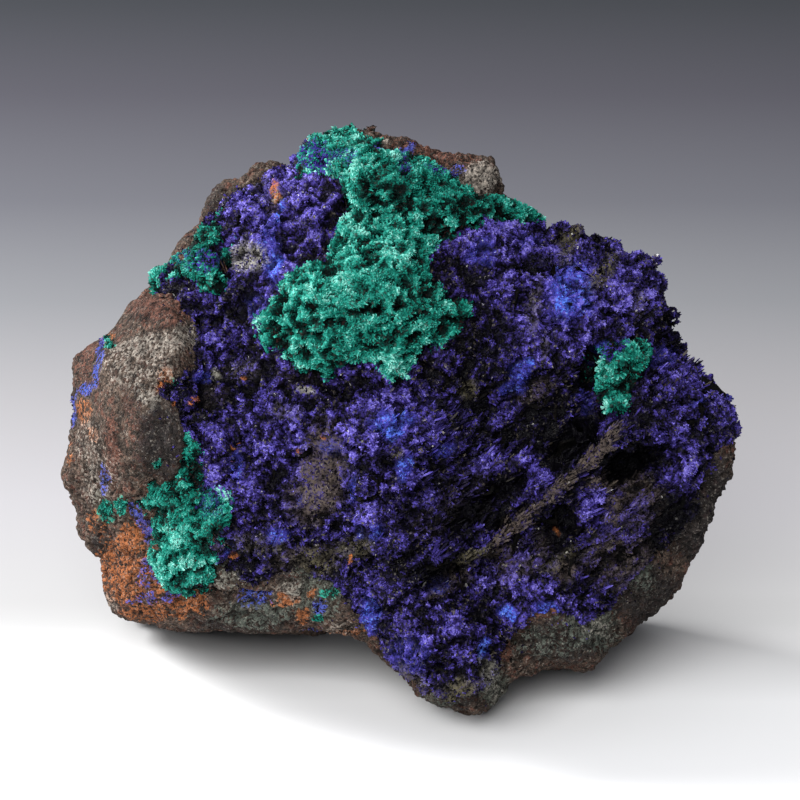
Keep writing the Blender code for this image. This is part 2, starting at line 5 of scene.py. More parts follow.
import bmesh
import bpy
import numpy as np
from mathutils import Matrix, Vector
from mathutils.bvhtree import BVHTree


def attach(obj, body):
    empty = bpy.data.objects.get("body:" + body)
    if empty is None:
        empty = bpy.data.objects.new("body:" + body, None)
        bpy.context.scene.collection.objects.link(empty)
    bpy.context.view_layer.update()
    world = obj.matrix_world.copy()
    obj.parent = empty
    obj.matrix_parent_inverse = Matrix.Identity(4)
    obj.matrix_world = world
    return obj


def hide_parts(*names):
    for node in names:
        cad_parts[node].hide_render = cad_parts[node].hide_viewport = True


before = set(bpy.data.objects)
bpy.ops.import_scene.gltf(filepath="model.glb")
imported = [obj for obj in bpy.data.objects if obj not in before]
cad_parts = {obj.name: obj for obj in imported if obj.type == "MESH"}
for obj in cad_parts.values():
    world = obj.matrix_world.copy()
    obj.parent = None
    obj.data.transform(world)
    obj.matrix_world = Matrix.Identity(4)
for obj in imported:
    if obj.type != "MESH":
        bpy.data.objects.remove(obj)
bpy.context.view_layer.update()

mm = 0.001

# The broad face leans back. Places on it are pixels of the 800 x 800 photograph, which looks
# square on to the face from 600 mm away, at 0.2 mm a pixel.
face = {
    "lean": math.radians(20),
    "across": -0.03,  # where the middle of the face is, in mm
    "back": 3.76,
    "height": 55.5,
    "aimUp": 3.0,  # the photograph's middle lies this far up the face
    "distance": 600.0,
    "pixel": 0.2,
    "middlePixel": 400.0,
    "lens": 135,
    "sensor": 36,
}


def facePlaces(points):
    # x and y in the photograph's pixels, and how far a point stands out of the face, in mm
    across = points[:, 0] - face["across"]
    back = points[:, 1] - face["back"]
    height = points[:, 2] - face["height"]
    up = back * math.sin(face["lean"]) + height * math.cos(face["lean"])
    out = -back * math.cos(face["lean"]) + height * math.sin(face["lean"])
    scale = face["pixel"] * (1 - out / face["distance"])
    x = face["middlePixel"] + across / scale
    y = face["middlePixel"] - (up - face["aimUp"]) / scale
    return x, y, out


def faceWay(across, up, out):
    # a direction on the face as a direction in the upright frame
    back = up * math.sin(face["lean"]) - out * math.cos(face["lean"])
    height = up * math.cos(face["lean"]) + out * math.sin(face["lean"])
    return Vector((across, back, height)).normalized()


def noiseCells(points, width, rng):
    # where the points are in cells of that width, and each cell's pick of 256 random entries
    shuffle = rng.permutation(256)
    cell = np.floor(points / width).astype(int)

    def pick(step):
        x, y, z = ((cell + step) & 255).T
        return shuffle[(shuffle[(shuffle[x] + y) & 255] + z) & 255]

    return points / width - cell, pick


def smoothNoise(points, width, seed=0):
    # gradient noise of about -1 to 1, in lumps of that width
    rng = np.random.default_rng(seed)
    part, pick = noiseCells(points, width, rng)
    slopes = rng.normal(size=(256, 3))
    slopes /= np.linalg.norm(slopes, axis=1)[:, None]
    ease = part**3 * (part * (part * 6 - 15) + 10)
    total = np.zeros(len(points))
    for corner in itertools.product((0, 1), repeat=3):
        share = np.prod(np.where(corner, ease, 1 - ease), axis=1)
        total += share * (slopes[pick(corner)] * (part - corner)).sum(1)
    return total * 1.6  # brings the usual reach of the sum to 1


def cellNoise(points, width, seed=0):
    # distance to the nearest scattered centre and to the second one, as shares of the width
    rng = np.random.default_rng(seed)
    part, pick = noiseCells(points, width, rng)
    jitter = rng.random((256, 3))
    first = np.full(len(points), np.inf)
    second = first.copy()
    for step in itertools.product((-1, 0, 1), repeat=3):
        reach = np.linalg.norm(jitter[pick(step)] + step - part, axis=1)
        second = np.minimum(second, np.maximum(first, reach))
        first = np.minimum(first, reach)
    return first, second


def softStep(values, low, high):
    share = np.clip((values - low) / (high - low), 0, 1)
    return share * share * (3 - 2 * share)


def spotMask(x, y, spots, feather=0.45):
    # spots are (x, y, half width, half height, strength), in pixels, and a turn in degrees if any
    mask = np.zeros(len(x))
    for middleX, middleY, halfX, halfY, strength, *turn in spots:
        angle = math.radians(turn[0] if turn else 0)
        along = ((x - middleX) * math.cos(angle) - (y - middleY) * math.sin(angle)) / halfX
        beside = ((x - middleX) * math.sin(angle) + (y - middleY) * math.cos(angle)) / halfY
        reach = np.hypot(along, beside)
        mask = np.maximum(mask, strength * (1 - softStep(reach, 1 - feather, 1 + feather)))
    return mask


# Skin: every rock and crystal surface in one fine mesh
skinSettings = {
    "voxel": 0.62,  # mm
    "swell": 0.32,  # closes the seams between the solids before they are joined
    "smoothing": 7,
    "borderWander": 1.5,  # how far the borders of the growths stray, in mm
    "openWander": 2.6,  # and those of the growths that are open and broken up
    "borderWidth": 2.4,
    "bendWidths": (3.2, 1.3),  # of the bends in those borders
    "bareRetreat": 8,  # how far they draw back from bare spots
    "holeWidth": 3.0,  # of the holes in the open growths, and their depth
    "holeDepth": 3.5,
    "closeDepth": 8,  # how far behind the face the picture still shows the skin close
}
openGrowths = ["malachite_left_sprays", "malachite_lower"]
bareSpots = [  # rock that stays bare beside the growths
    (380, 126, 30, 11, 1, -22), (404, 139, 28, 12, 1, -24), (440, 154, 30, 13, 1, -22),
    (478, 176, 26, 14, 1, -25), (164, 440, 18, 36, 1),
]
growths = [name for name in sorted(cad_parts) if name != "matrix"]
greens = [name for name in growths if name != "azurite"]


def meshOf(name, shape):
    mesh = bpy.data.meshes.new(name)
    shape.to_mesh(mesh)
    shape.free()
    return mesh


def joinMeshes(name, parts):
    joined = bmesh.new()
    for part in parts:
        joined.from_mesh(part)
    return meshOf(name, joined)


def newPiece(name, data):
    data.name = name
    piece = bpy.data.objects.new(name, data)
    bpy.context.scene.collection.objects.link(piece)
    return piece


def solidCopy(name, swell):
    solid = bmesh.new()
    solid.from_mesh(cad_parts[name].data)
    bmesh.ops.remove_doubles(solid, verts=solid.verts, dist=1e-6)
    solid.normal_update()
    for vertex in solid.verts:
        vertex.co += vertex.normal * swell
    return solid


def joinedSkin():
    solids = [meshOf(name, solidCopy(name, skinSettings["swell"] * mm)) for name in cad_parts]
    skin = newPiece("skin", joinMeshes("skin", solids))
    for solid in solids:
        bpy.data.meshes.remove(solid)
    remesh = skin.modifiers.new("remesh", "REMESH")
    remesh.mode = "VOXEL"
    remesh.voxel_size = skinSettings["voxel"] * mm
    smooth = skin.modifiers.new("smooth", "SMOOTH")
    smooth.iterations = skinSettings["smoothing"]
    mesh = bakedMesh(skin)
    dropIslands(mesh)
    return mesh


def dropIslands(mesh):
    # removes the small closed bubbles that remeshing leaves in seams
    shape = bmesh.new()
    shape.from_mesh(mesh)
    start = min(shape.verts, key=lambda vertex: vertex.co.x)
    reached = {start}
    edge = [start]
    while edge:
        near = {side.other_vert(vertex) for vertex in edge for side in vertex.link_edges}
        edge = list(near - reached)
        reached |= near
    bmesh.ops.delete(shape, geom=[v for v in shape.verts if v not in reached], context="VERTS")
    shape.to_mesh(mesh)
    shape.free()


def bakedMesh(piece):
    # the piece's evaluated mesh, without the piece
    graph = bpy.context.evaluated_depsgraph_get()
    mesh = bpy.data.meshes.new_from_object(piece.evaluated_get(graph))
    old = piece.data
    bpy.data.objects.remove(piece)
    bpy.data.meshes.remove(old)
    return mesh


def readArray(items, field, width=3, kind=np.float32):
    numbers = np.empty(len(items) * width, kind)
    items.foreach_get(field, numbers)
    return numbers.reshape(-1, width)


def readPoints(mesh):
    return readArray(mesh.vertices, "co").astype(float) / mm


def readNormals(mesh):
    return readArray(mesh.vertex_normals, "vector").astype(float)


def readTriangles(mesh):
    return readArray(mesh.polygons, "vertices", 3, np.int32)


def setValues(mesh, name, values):
    attribute = mesh.attributes.get(name) or mesh.attributes.new(name, "FLOAT", "POINT")
    attribute.data.foreach_set("value", np.asarray(values, np.float32))


def getValues(mesh, name):
    return readArray(mesh.attributes[name].data, "value", 1).ravel().astype(float)


def shareByGrowth(mesh):
    # how much each point belongs to each growth, from its distance to the solids
    points = readPoints(mesh)
    names = ["matrix"] + growths
    broad, narrow = skinSettings["bendWidths"]
    gaps = {}
    for name in names:
        solid = solidCopy(name, 0)
        tree = BVHTree.FromBMesh(solid)
        gaps[name] = np.array([tree.find_nearest(Vector(p) * mm)[3] / mm for p in points])
        solid.free()
    x, y, out = facePlaces(points)
    bare = spotMask(x, y, bareSpots, 0.3) * (out > -20)
    for seed, name in enumerate(growths):
        reach = skinSettings["openWander" if name in openGrowths else "borderWander"]
        bends = smoothNoise(points, broad, 40 + seed) + 0.5 * smoothNoise(points, narrow, 50 + seed)
        wander = reach * bends
        wander -= skinSettings["bareRetreat"] * bare
        if name in openGrowths:
            holes = softStep(smoothNoise(points, skinSettings["holeWidth"], 45 + seed), 0.15, 0.5)
            wander -= skinSettings["holeDepth"] * holes
        others = np.min([gaps[other] for other in names if other != name], axis=0)
        lead = lambda rest: softStep((rest - gaps[name] + wander) / skinSettings["borderWidth"] + 0.5, 0, 1)
        setValues(mesh, "in_" + name, lead(others))
        setValues(mesh, "gap_" + name, gaps[name])
        if name == "azurite":
            most = lead(gaps["matrix"])
    green = np.max([getValues(mesh, "in_" + name) for name in greens], axis=0)
    setValues(mesh, "in_azurite", np.maximum(getValues(mesh, "in_azurite"), most * (1 - green)))


def refineFront(mesh):
    # quarters the faces of the bare rock and the malachite where the picture shows them close
    x, y, out = facePlaces(readPoints(mesh))
    bare = 1 - getValues(mesh, "in_azurite")
    facing = readNormals(mesh) @ np.array(faceWay(0, 0, 1))
    wanted = (bare > 0.05) & (out > -skinSettings["closeDepth"]) & (facing > 0.1)
    fine = bmesh.new()
    fine.from_mesh(mesh)
    fine.verts.ensure_lookup_table()
    edges = [e for e in fine.edges if wanted[e.verts[0].index] and wanted[e.verts[1].index]]
    bmesh.ops.subdivide_edges(fine, edges=edges, cuts=1, use_grid_fill=True)
    bmesh.ops.triangulate(fine, faces=fine.faces)
    fine.to_mesh(mesh)
    fine.free()


print("joining the skin")
skin = joinedSkin()
print("skin", len(skin.vertices))
shareByGrowth(skin)
refineFront(skin)
print("refined", len(skin.vertices), len(skin.polygons))


# Tones: where the photograph shows each colour, in its pixels
tones = {
    "pale": [
        (152, 346, 46, 12, 0.6, 6), (184, 334, 14, 12, 0.65), (140, 366, 40, 26, 0.45),
        (150, 398, 14, 8, 0.7, -20), (90, 440, 14, 30, 0.35), (100, 480, 22, 26, 0.4),
        (248, 256, 20, 18, 0.75), (275, 196, 6, 6, 1), (380, 140, 10, 6, 0.6), (228, 580, 24, 8, 0.45, 8),
        (290, 590, 14, 10, 0.7), (490, 676, 12, 24, 0.5, 10), (596, 628, 20, 10, 0.4, -20),
        (480, 178, 20, 14, 0.9), (340, 630, 20, 10, 0.4), (217, 374, 3, 6, 0.8),
        (306, 391, 10, 4, 0.7, -20), (106, 604, 12, 12, 0.5),
    ],
    "red": [
        (165, 305, 38, 22, 0.8, -10), (112, 455, 6, 40, 1, 3), (135, 425, 8, 34, 0.6, 10),
        (88, 350, 14, 10, 0.8), (85, 375, 12, 20, 0.5), (505, 655, 8, 10, 1), (540, 610, 14, 20, 0.6, -20),
        (628, 620, 10, 8, 0.7), (435, 150, 40, 16, 0.7, -18), (515, 632, 12, 9, 0.8),
        (145, 580, 46, 34, 0.7),
    ],
    "rust": [
        (140, 580, 36, 22, 0.9, 20), (185, 603, 22, 14, 0.9), (132, 540, 14, 24, 1, -30),
        (84, 412, 7, 12, 0.8), (92, 434, 5, 7, 0.8), (72, 455, 4, 9, 0.6), (150, 612, 30, 10, 0.7, 10),
        (105, 560, 8, 20, 0.8), (128, 572, 14, 18, 0.8), (165, 375, 6, 6, 1), (106, 338, 5, 5, 1),
        (160, 386, 3, 6, 0.8), (284, 600, 7, 6, 1), (303, 616, 5, 7, 1), (312, 592, 5, 4, 0.9),
        (274, 190, 5, 12, 1), (196, 397, 5, 3, 1, 10), (190, 404, 3, 3, 0.9), (241, 378, 3, 3, 0.9),
        (234, 442, 3, 2, 0.9), (298, 452, 3, 3, 0.9), (323, 438, 3, 3, 1), (353, 557, 4, 4, 1),
        (270, 604, 4, 3, 0.9), (296, 598, 3, 3, 0.8), (585, 318, 3, 2, 0.9), (176, 403, 3, 3, 1),
        (555, 530, 3, 6, 1), (330, 637, 40, 2, 0.9, 4), (100, 520, 12, 14, 0.5), (232, 560, 6, 4, 0.8),
        (345, 637, 30, 2, 0.9, 3),
    ],
    # partly the rock's own dark colour, partly painted shade on the broken right edge and the underside,
    # which face down
    "dark_rock_and_shade": [
        (162, 440, 26, 40, 0.9), (140, 405, 18, 30, 0.35, 10), (250, 620, 60, 12, 0.6, 3),
        (270, 575, 30, 10, 0.5, 6), (345, 600, 14, 16, 0.4), (695, 500, 44, 74, 1, 25),
        (650, 600, 56, 34, 0.8, -35), (100, 545, 10, 20, 0.7), (225, 205, 30, 16, 0.6, -40),
        (560, 640, 50, 22, 0.75), (450, 702, 40, 12, 0.6, 20),
    ],
    "green": [
        (255, 612, 40, 14, 0.8, 4), (318, 590, 26, 30, 0.8), (590, 625, 30, 22, 0.9, -20),
        (230, 575, 24, 14, 0.5), (490, 680, 16, 30, 0.9, 20), (548, 642, 40, 16, 0.4),
        (440, 700, 36, 12, 0.5, 20), (640, 580, 20, 12, 0.5, -40), (100, 500, 8, 10, 0.5),
        (640, 570, 12, 12, 0.8), (560, 590, 30, 16, 0.5, -30),
    ],
    "blue": [
        (101, 352, 3, 16, 0.8, -12), (98, 372, 3, 14, 0.8, -8), (86, 390, 10, 4, 0.8, 20),
        (142, 522, 6, 20, 0.9, 30), (104, 480, 4, 14, 0.7), (146, 572, 6, 12, 0.8), (150, 598, 6, 5, 0.8),
        (136, 600, 6, 4, 0.6), (320, 606, 5, 7, 1), (72, 410, 4, 16, 0.5), (455, 172, 12, 5, 0.8, 20),
        (402, 152, 14, 3, 0.9, 30), (307, 635, 14, 3, 0.7, 5), (255, 600, 16, 8, 0.6),
        (150, 580, 12, 8, 0.4), (178, 592, 14, 6, 1, 30),
    ],
    "teal": [
        (156, 463, 3.5, 4.5, 1), (122, 505, 4, 8, 1, 10), (106, 512, 8, 12, 0.7), (215, 345, 10, 6, 0.4),
        (330, 592, 9, 7, 0.6), (109, 344, 3, 4, 1), (318, 618, 5, 4, 0.7), (174, 383, 6, 5, 0.7),
    ],
    "powder": [
        (394, 431, 11, 9, 1), (404, 468, 9, 15, 0.75, -10), (392, 420, 26, 12, 0.75, 10),
        (444, 450, 16, 7, 0.5, 25), (330, 448, 14, 10, 0.45, -30), (374, 533, 8, 10, 0.6),
        (355, 530, 8, 12, 0.5, 20), (562, 303, 12, 10, 1), (572, 292, 26, 34, 0.7),
        (520, 372, 14, 14, 0.6), (529, 362, 5, 5, 1), (515, 388, 16, 8, 0.6, 20), (482, 252, 18, 16, 0.5),
        (530, 238, 16, 10, 0.4), (608, 348, 18, 7, 0.9, 20), (598, 356, 10, 6, 1, 20),
        (273, 266, 10, 14, 0.9), (270, 250, 12, 40, 0.55), (302, 162, 7, 6, 0.8),
        (279, 212, 4, 14, 0.9, -15), (140, 530, 10, 20, 0.7, 30), (236, 466, 10, 16, 0.55),
        (228, 552, 8, 8, 0.7), (277, 536, 14, 9, 0.6), (369, 612, 10, 22, 0.65, 10),
        (410, 655, 24, 24, 0.4), (508, 612, 8, 8, 1), (545, 617, 16, 16, 0.75), (485, 650, 6, 11, 0.85),
        (730, 392, 12, 12, 0.55), (700, 402, 12, 6, 0.5, 20), (176, 586, 12, 7, 1, -20),
        (205, 376, 12, 8, 0.5), (440, 585, 12, 8, 0.5, 30), (298, 500, 6, 8, 0.6), (352, 492, 5, 16, 0.6),
        (98, 364, 5, 26, 1.2, -12), (86, 391, 10, 5, 1.2, 20), (586, 400, 12, 14, 0.4),
        (256, 305, 12, 20, 0.4), (666, 356, 14, 14, 0.35),
    ],
    "lit": [
        (270, 250, 50, 80, 0.75), (250, 460, 70, 70, 0.7), (230, 340, 50, 60, 0.35),
        (385, 430, 64, 44, 0.9, 20), (560, 300, 70, 60, 0.9), (500, 235, 60, 30, 1),
        (420, 650, 60, 60, 0.5), (360, 600, 30, 40, 0.65), (630, 280, 36, 34, 0.8),
        (540, 610, 50, 30, 0.6), (690, 390, 50, 40, 0.5), (320, 340, 80, 40, 0.35),
        (620, 400, 40, 30, 0.5), (684, 470, 26, 34, 1, 20), (300, 200, 50, 40, 0.9),
        (530, 464, 12, 18, 0.9, 20), (482, 462, 16, 14, 0.9), (547, 478, 8, 8, 1),
        (595, 508, 14, 22, 1, 20), (638, 512, 20, 12, 0.8), (523, 548, 7, 14, 1, -20),
        (482, 580, 14, 22, 0.9), (528, 588, 28, 14, 0.9), (400, 500, 60, 40, 0.5),
    ],
    "stone": [
        (322, 468, 20, 46, 1), (310, 500, 26, 26, 0.7), (300, 560, 40, 12, 0.5, 10),
        (488, 553, 20, 6, 0.8, 15), (564, 572, 13, 12, 0.7), (630, 560, 6, 12, 0.7),
        (450, 585, 30, 8, 0.6, 35), (600, 483, 13, 9, 0.9), (612, 512, 9, 18, 0.9),
        (640, 500, 26, 30, 0.45, 30), (520, 560, 40, 20, 0.35, 35), (400, 300, 6, 6, 0.3),
        (535, 390, 24, 12, 0.4, 30), (440, 515, 40, 24, 0.25, 35), (275, 200, 8, 18, 0.7),
        (620, 560, 40, 30, 0.45), (470, 480, 30, 20, 0.2, 35), (415, 690, 30, 10, 0.4, -35),
        (300, 375, 30, 16, 0.25), (215, 395, 14, 16, 0.3),
    ],
    "olive": [
        (568, 242, 10, 20, 0.9, -20), (604, 272, 9, 26, 0.9, -35), (534, 305, 8, 30, 0.6, -10),
        (545, 345, 5, 18, 0.6), (396, 452, 5, 9, 0.8), (466, 556, 24, 5, 0.9, 25), (355, 548, 20, 12, 0.6),
        (315, 562, 24, 14, 0.8), (452, 694, 30, 9, 0.9, 20), (410, 680, 24, 10, 0.6, -30),
        (468, 390, 10, 14, 0.6), (250, 545, 40, 12, 0.5), (240, 370, 20, 12, 0.4), (286, 410, 20, 12, 0.4),
        (640, 300, 8, 20, 0.5), (300, 300, 12, 30, 0.3), (560, 560, 30, 8, 0.5, 35),
        (262, 190, 12, 16, 0.4),
    ],
    "lathy": [
        (500, 470, 110, 90, 1), (600, 520, 90, 70, 1), (640, 380, 60, 60, 0.8), (440, 540, 60, 60, 0.9),
    ],
    "rib": [
        (598, 452, 34, 6, 1, 44), (556, 490, 34, 5, 1, 41), (510, 529, 40, 4, 0.8, 38),
        (470, 554, 30, 4, 0.5, 30),
    ],
    # painted shade: the azurite is darkened in these hollows and crevices
    "cavern_shade": [
        (572, 442, 32, 14, 1, 48), (440, 575, 30, 12, 0.9, 30), (630, 464, 30, 14, 1, 25),
        (476, 508, 42, 14, 1, 40), (506, 490, 30, 10, 0.9, 35), (566, 520, 11, 10, 1),
        (590, 365, 9, 22, 1), (680, 510, 36, 30, 0.8, 40), (470, 330, 30, 14, 0.5, 10),
        (345, 205, 12, 9, 0.8, 10), (318, 222, 22, 6, 0.7, 20), (520, 330, 40, 10, 0.5, 10),
        (240, 310, 20, 12, 0.6), (440, 380, 30, 10, 0.5), (385, 460, 10, 9, 0.9),
        (615, 405, 26, 8, 0.7, 30), (540, 410, 20, 8, 0.6, 35), (420, 515, 16, 10, 0.6),
        (535, 262, 22, 8, 0.7, 5), (210, 250, 14, 8, 0.5), (350, 390, 40, 8, 0.5),
    ],
    "violet": [
        (318, 158, 16, 14, 1, -25), (345, 156, 16, 7, 0.5, -10), (386, 147, 20, 4, 1, -22),
        (404, 166, 10, 5, 0.5, -15), (436, 170, 12, 4, 0.7, -10), (205, 262, 16, 10, 0.6),
        (180, 256, 12, 8, 0.4), (212, 500, 12, 20, 0.4), (448, 250, 8, 12, 0.5),
        (612, 350, 16, 7, 0.8, 20),
    ],
    "mint": [
        (345, 265, 20, 30, 0.4, 10), (352, 215, 14, 20, 0.4), (340, 170, 40, 14, 0.7, 20),
        (312, 300, 34, 18, 0.4, 15), (385, 365, 20, 14, 0.7), (405, 245, 30, 24, 0.4),
        (176, 556, 26, 26, 1), (172, 478, 8, 8, 0.6), (228, 490, 12, 16, 0.5), (600, 360, 16, 10, 0.8, 20),
        (405, 160, 22, 8, 0.6, -20), (290, 345, 24, 30, 0.5), (152, 508, 8, 14, 0.5),
        (365, 235, 20, 12, 0.5), (355, 140, 22, 6, 0.7),
    ],
}
hollows = [  # places that sink further than the solids do, with depths in mm for strengths
    (572, 442, 32, 12, 3, 48), (630, 464, 28, 11, 3, 25), (590, 366, 7, 20, 3), (476, 508, 38, 12, 3, 40),
    (506, 490, 28, 8, 2.4, 35), (566, 520, 10, 9, 2), (372, 205, 9, 12, 1.6), (345, 206, 12, 8, 1.2, 10),
    (440, 576, 26, 9, 2, 30), (384, 462, 9, 8, 2), (536, 264, 20, 7, 2, 5), (425, 195, 14, 6, 1.4, -10),
    (430, 300, 16, 8, 1.6), (345, 315, 14, 6, 1.4), (700, 480, 12, 24, 1.6, 20),
    (188, 385, 16, 4, 1.4, 12), (230, 566, 30, 4, 1.6), (250, 595, 40, 3, 1.4, -4),
    (348, 122, 56, 14, 1.8, -4),
]
plateSpot = (140, 390, 66, 96, 1, -12)  # the bare worn face of the rock
lay = (0.77, 0.64, 0)  # the way the long crystals lie, across, up and out of the face
paintSettings = {
    "stray": ((3.0, 4), (1.1, 2)),  # how the spots' edges stray, as (width in mm, reach in pixels)
    "fade": (-16, -6),  # where the tones end and are full, in mm out of the face
}


def paintTones(mesh):
    points = readPoints(mesh)
    x, y, out = facePlaces(points)
    for seed, (width, reach) in enumerate(paintSettings["stray"]):
        x = x + reach * smoothNoise(points, width, 1 + seed)
        y = y + reach * smoothNoise(points, width, 3 + seed)
    inFront = softStep(out, *paintSettings["fade"])
    for name, spots in tones.items():
        setValues(mesh, name, spotMask(x, y, spots) * inFront)
    setValues(mesh, "front", inFront)


# Relief: how each surface stands off the smooth skin, in mm, and how high that is in its
# own neighbourhood, from 0 in a gap to 1 on a crest. Layers of noise are (width, height)
# in mm, with the level that stays in place where one is given
rockShape = {
    "lumps": ((8.0, 1.2), (3.0, 0.7)), "grit": ((0.8, 0.4),), "grains": (1.5, 0.9), "chips": (5.0, 1.4),
    "worn": ((5.0, 0.3), (1.2, 0.24)), "pits": (1.0, 0.35),  # on the plate
    "top": 1.0,
}
azuriteShape = {
    "clumps": (6.5, 4.6, 0.32), "knobs": (2.1, 2.5, 0.3), "grains": (1.1, 0.9, 0.25),
    "stray": (2.8, 1.2), "top": 0.7,
}
malachiteShape = {
    "walls": (5.2, 3.2, 0.6), "curls": (2.3, 1.9, 0.6), "grains": (0.9, 0.45, 0),
    "pockets": (2.6, 1.8), "stray": (2.2, 0.8), "top": 0.6,
}
ribShape = {"width": 0.8, "height": 1.8, "streaks": 0.6}
lathStretch = 0.62  # how far the relief is drawn out along the laths, as a share


def capped(relief, top):
    # levels tops off softly, so that they stay by the solids' own surface
    over = np.maximum(relief - top / 2, 0) / (top / 2)
    return np.minimum(relief, top / 2) + top / 2 * np.tanh(over)


def waves(points, layers, seed):
    return sum(height * smoothNoise(points, width, seed + i) for i, (width, height) in enumerate(layers))


def raised(shape, **layers):
    return sum(shape[name][1] * (layer - shape[name][2]) for name, layer in layers.items())


def strayedPoints(points, shape, seed):
    width, reach = shape["stray"]
    return points + reach * smoothNoise(points, width, seed)[:, None]


def drawnOut(points, share):
    # the points of a noise that is stretched along the way the laths lie
    way = np.array(faceWay(*lay))
    return points - share * (points @ way)[:, None] * way


def rockRelief(points, plate):
    grainWidth, grainHeight = rockShape["grains"]
    chipWidth, chipHeight = rockShape["chips"]
    pitWidth, pitDepth = rockShape["pits"]
    first = cellNoise(points + 0.4 * smoothNoise(points, grainWidth, 11)[:, None], grainWidth, 12)[0]
    chips, edge = cellNoise(points, chipWidth, 13)
    grains = grainHeight * (0.5 - first) + waves(points, rockShape["grit"], 16)
    broken = chipHeight * np.minimum(edge - chips, 0.35) - 0.4
    worn = waves(points, rockShape["worn"], 17)
    worn += 0.10 * (0.5 - first) - pitDepth * softStep(smoothNoise(points, pitWidth, 19), 0.5, 0.9)
    relief = (waves(points, rockShape["lumps"], 14) + grains + broken) * (1 - plate) + worn * plate
    return capped(relief, rockShape["top"]), softStep(grains + 0.4 * broken, -0.5, 0.3)


def azuriteRelief(points):
    strayed = strayedPoints(points, azuriteShape, 25)
    clumps = np.abs(smoothNoise(strayed, azuriteShape["clumps"][0], 21))
    knobs = np.abs(smoothNoise(strayed, azuriteShape["knobs"][0], 22))
    grains = np.abs(smoothNoise(points, azuriteShape["grains"][0], 23))
    relief = raised(azuriteShape, clumps=clumps, knobs=knobs, grains=grains)
    return capped(relief, azuriteShape["top"]), softStep(0.6 * clumps + knobs + 0.4 * grains, 0.15, 0.85)


def ridges(points, width, seed):
    return 1 - np.minimum(1.7 * np.abs(smoothNoise(points, width, seed)), 1)


def malachiteRelief(points):
    strayed = strayedPoints(points, malachiteShape, 35)
    walls = ridges(strayed, malachiteShape["walls"][0], 31)
    curls = ridges(strayed, malachiteShape["curls"][0], 32)
    grains = smoothNoise(points, malachiteShape["grains"][0], 33)
    pocketWidth, pocketDepth = malachiteShape["pockets"]
    pockets = softStep(smoothNoise(points, pocketWidth, 34), 0.3, 0.65)
    relief = raised(malachiteShape, walls=walls, curls=curls, grains=grains) - pocketDepth * pockets
    crest = softStep(0.7 * walls + 0.8 * curls + 0.15 * grains, 0.35, 1.25) * (1 - 0.9 * pockets)
    return capped(relief, malachiteShape["top"]), crest


def shapeSkin(mesh):
    points = readPoints(mesh)
    normals = readNormals(mesh)
    x, y, out = facePlaces(points)
    azurite = getValues(mesh, "in_azurite")
    malachite = np.clip(sum(getValues(mesh, "in_" + name) for name in greens), 0, 1)
    rock = np.clip(1 - azurite - malachite, 0, 1)
    plate = spotMask(x, y, [plateSpot], 0.12) * getValues(mesh, "front")
    lathy = softStep(getValues(mesh, "lathy"), 0.3, 0.8)
    made = {
        "rock": (rock, rockRelief(points, plate)), "druse": (azurite * (1 - lathy), azuriteRelief(points)),
        "laths": (azurite * lathy, azuriteRelief(drawnOut(points, lathStretch))),
        "malachite": (malachite, malachiteRelief(points)),
    }
    relief = sum(share * heights[0] for share, heights in made.values())
    crest = sum(share * heights[1] for share, heights in made.values())
    for middleX, middleY, halfX, halfY, depth, *turn in hollows:
        spot = spotMask(x, y, [(middleX, middleY, halfX, halfY, 1, *turn)], 0.6)
        spot *= getValues(mesh, "front")
        relief -= depth * spot
        # deep hollows lose their crest, and the materials paint them dark as shade
        crest *= 1 - spot * (depth > 1.8)
    rib = getValues(mesh, "rib") * azurite
    streaks = smoothNoise(drawnOut(points, 0.88), ribShape["width"], 24)
    relief += rib * (ribShape["height"] + ribShape["streaks"] * streaks)
    crest += rib * (0.7 + 0.5 * streaks - crest)
    moved = points + normals * relief[:, None]
    moved[:, 2] = np.maximum(moved[:, 2], 0.0)
    mesh.vertices.foreach_set("co", (moved * mm).astype(np.float32).ravel())
    mesh.update()
    setValues(mesh, "crest", crest)
    setValues(mesh, "druse", getValues(mesh, "druse") * (0.3 + 0.8 * crest))
    for name in growths:
        setValues(mesh, "tufts_" + name, getValues(mesh, "tufts_" + name) * (0.15 + crest))
    return normals


plantSettings = {  # widths and reaches in mm
    "patchWidth": 4.0,
    "strayReach": 1.6,  # how far single crystals spread on to the rock
    "lathWidth": 6.0,
    "swingWidth": 5.0,
    "swing": (0.75, 0.45),  # the crystals' usual length and how far it varies, as shares
}


def plantGrowth(mesh):
    # where crystals and tufts sprout, and how long they grow
    points = readPoints(mesh)
    read = lambda name: getValues(mesh, name)
    azurite = read("in_azurite")
    malachite = np.max([read("in_" + name) for name in greens], axis=0)
    gap = read("gap_azurite")
    patchy = softStep(smoothNoise(points, plantSettings["patchWidth"], 61), -0.1, 0.5)
    stray = np.exp(-gap / plantSettings["strayReach"]) * patchy * (1 - azurite) * (1 - malachite)
    blue = softStep(read("blue"), 0.3, 0.8) * 0.8
    rib = softStep(read("rib"), 0.3, 0.7)
    druse = azurite * (1 - 0.3 * read("stone")) * (1 - 0.9 * rib) + stray + blue * (1 - azurite)
    setValues(mesh, "druse", np.clip(druse, 0, 1) * (1 - softStep(malachite, 0.4, 0.7)))
    teal = softStep(read("teal"), 0.4, 0.8)
    for name in growths:
        setValues(mesh, "tufts_" + name, np.maximum(softStep(read("in_" + name), 0.35, 0.6), teal))
    lathy = read("lathy") * softStep(smoothNoise(points, plantSettings["lathWidth"], 62), -0.4, 0.4)
    setValues(mesh, "laths", azurite * np.maximum(lathy, 5 * rib))
    setValues(mesh, "stone", np.maximum(read("stone"), rib))
    usual, varied = plantSettings["swing"]
    swing = usual + varied * smoothNoise(points, plantSettings["swingWidth"], 63)
    setValues(mesh, "grow", swing * (1 + 0.3 * read("lathy") - 0.35 * read("powder")))


print("painting and shaping the skin")
paintTones(skin)
plantGrowth(skin)
evenNormals = shapeSkin(skin)


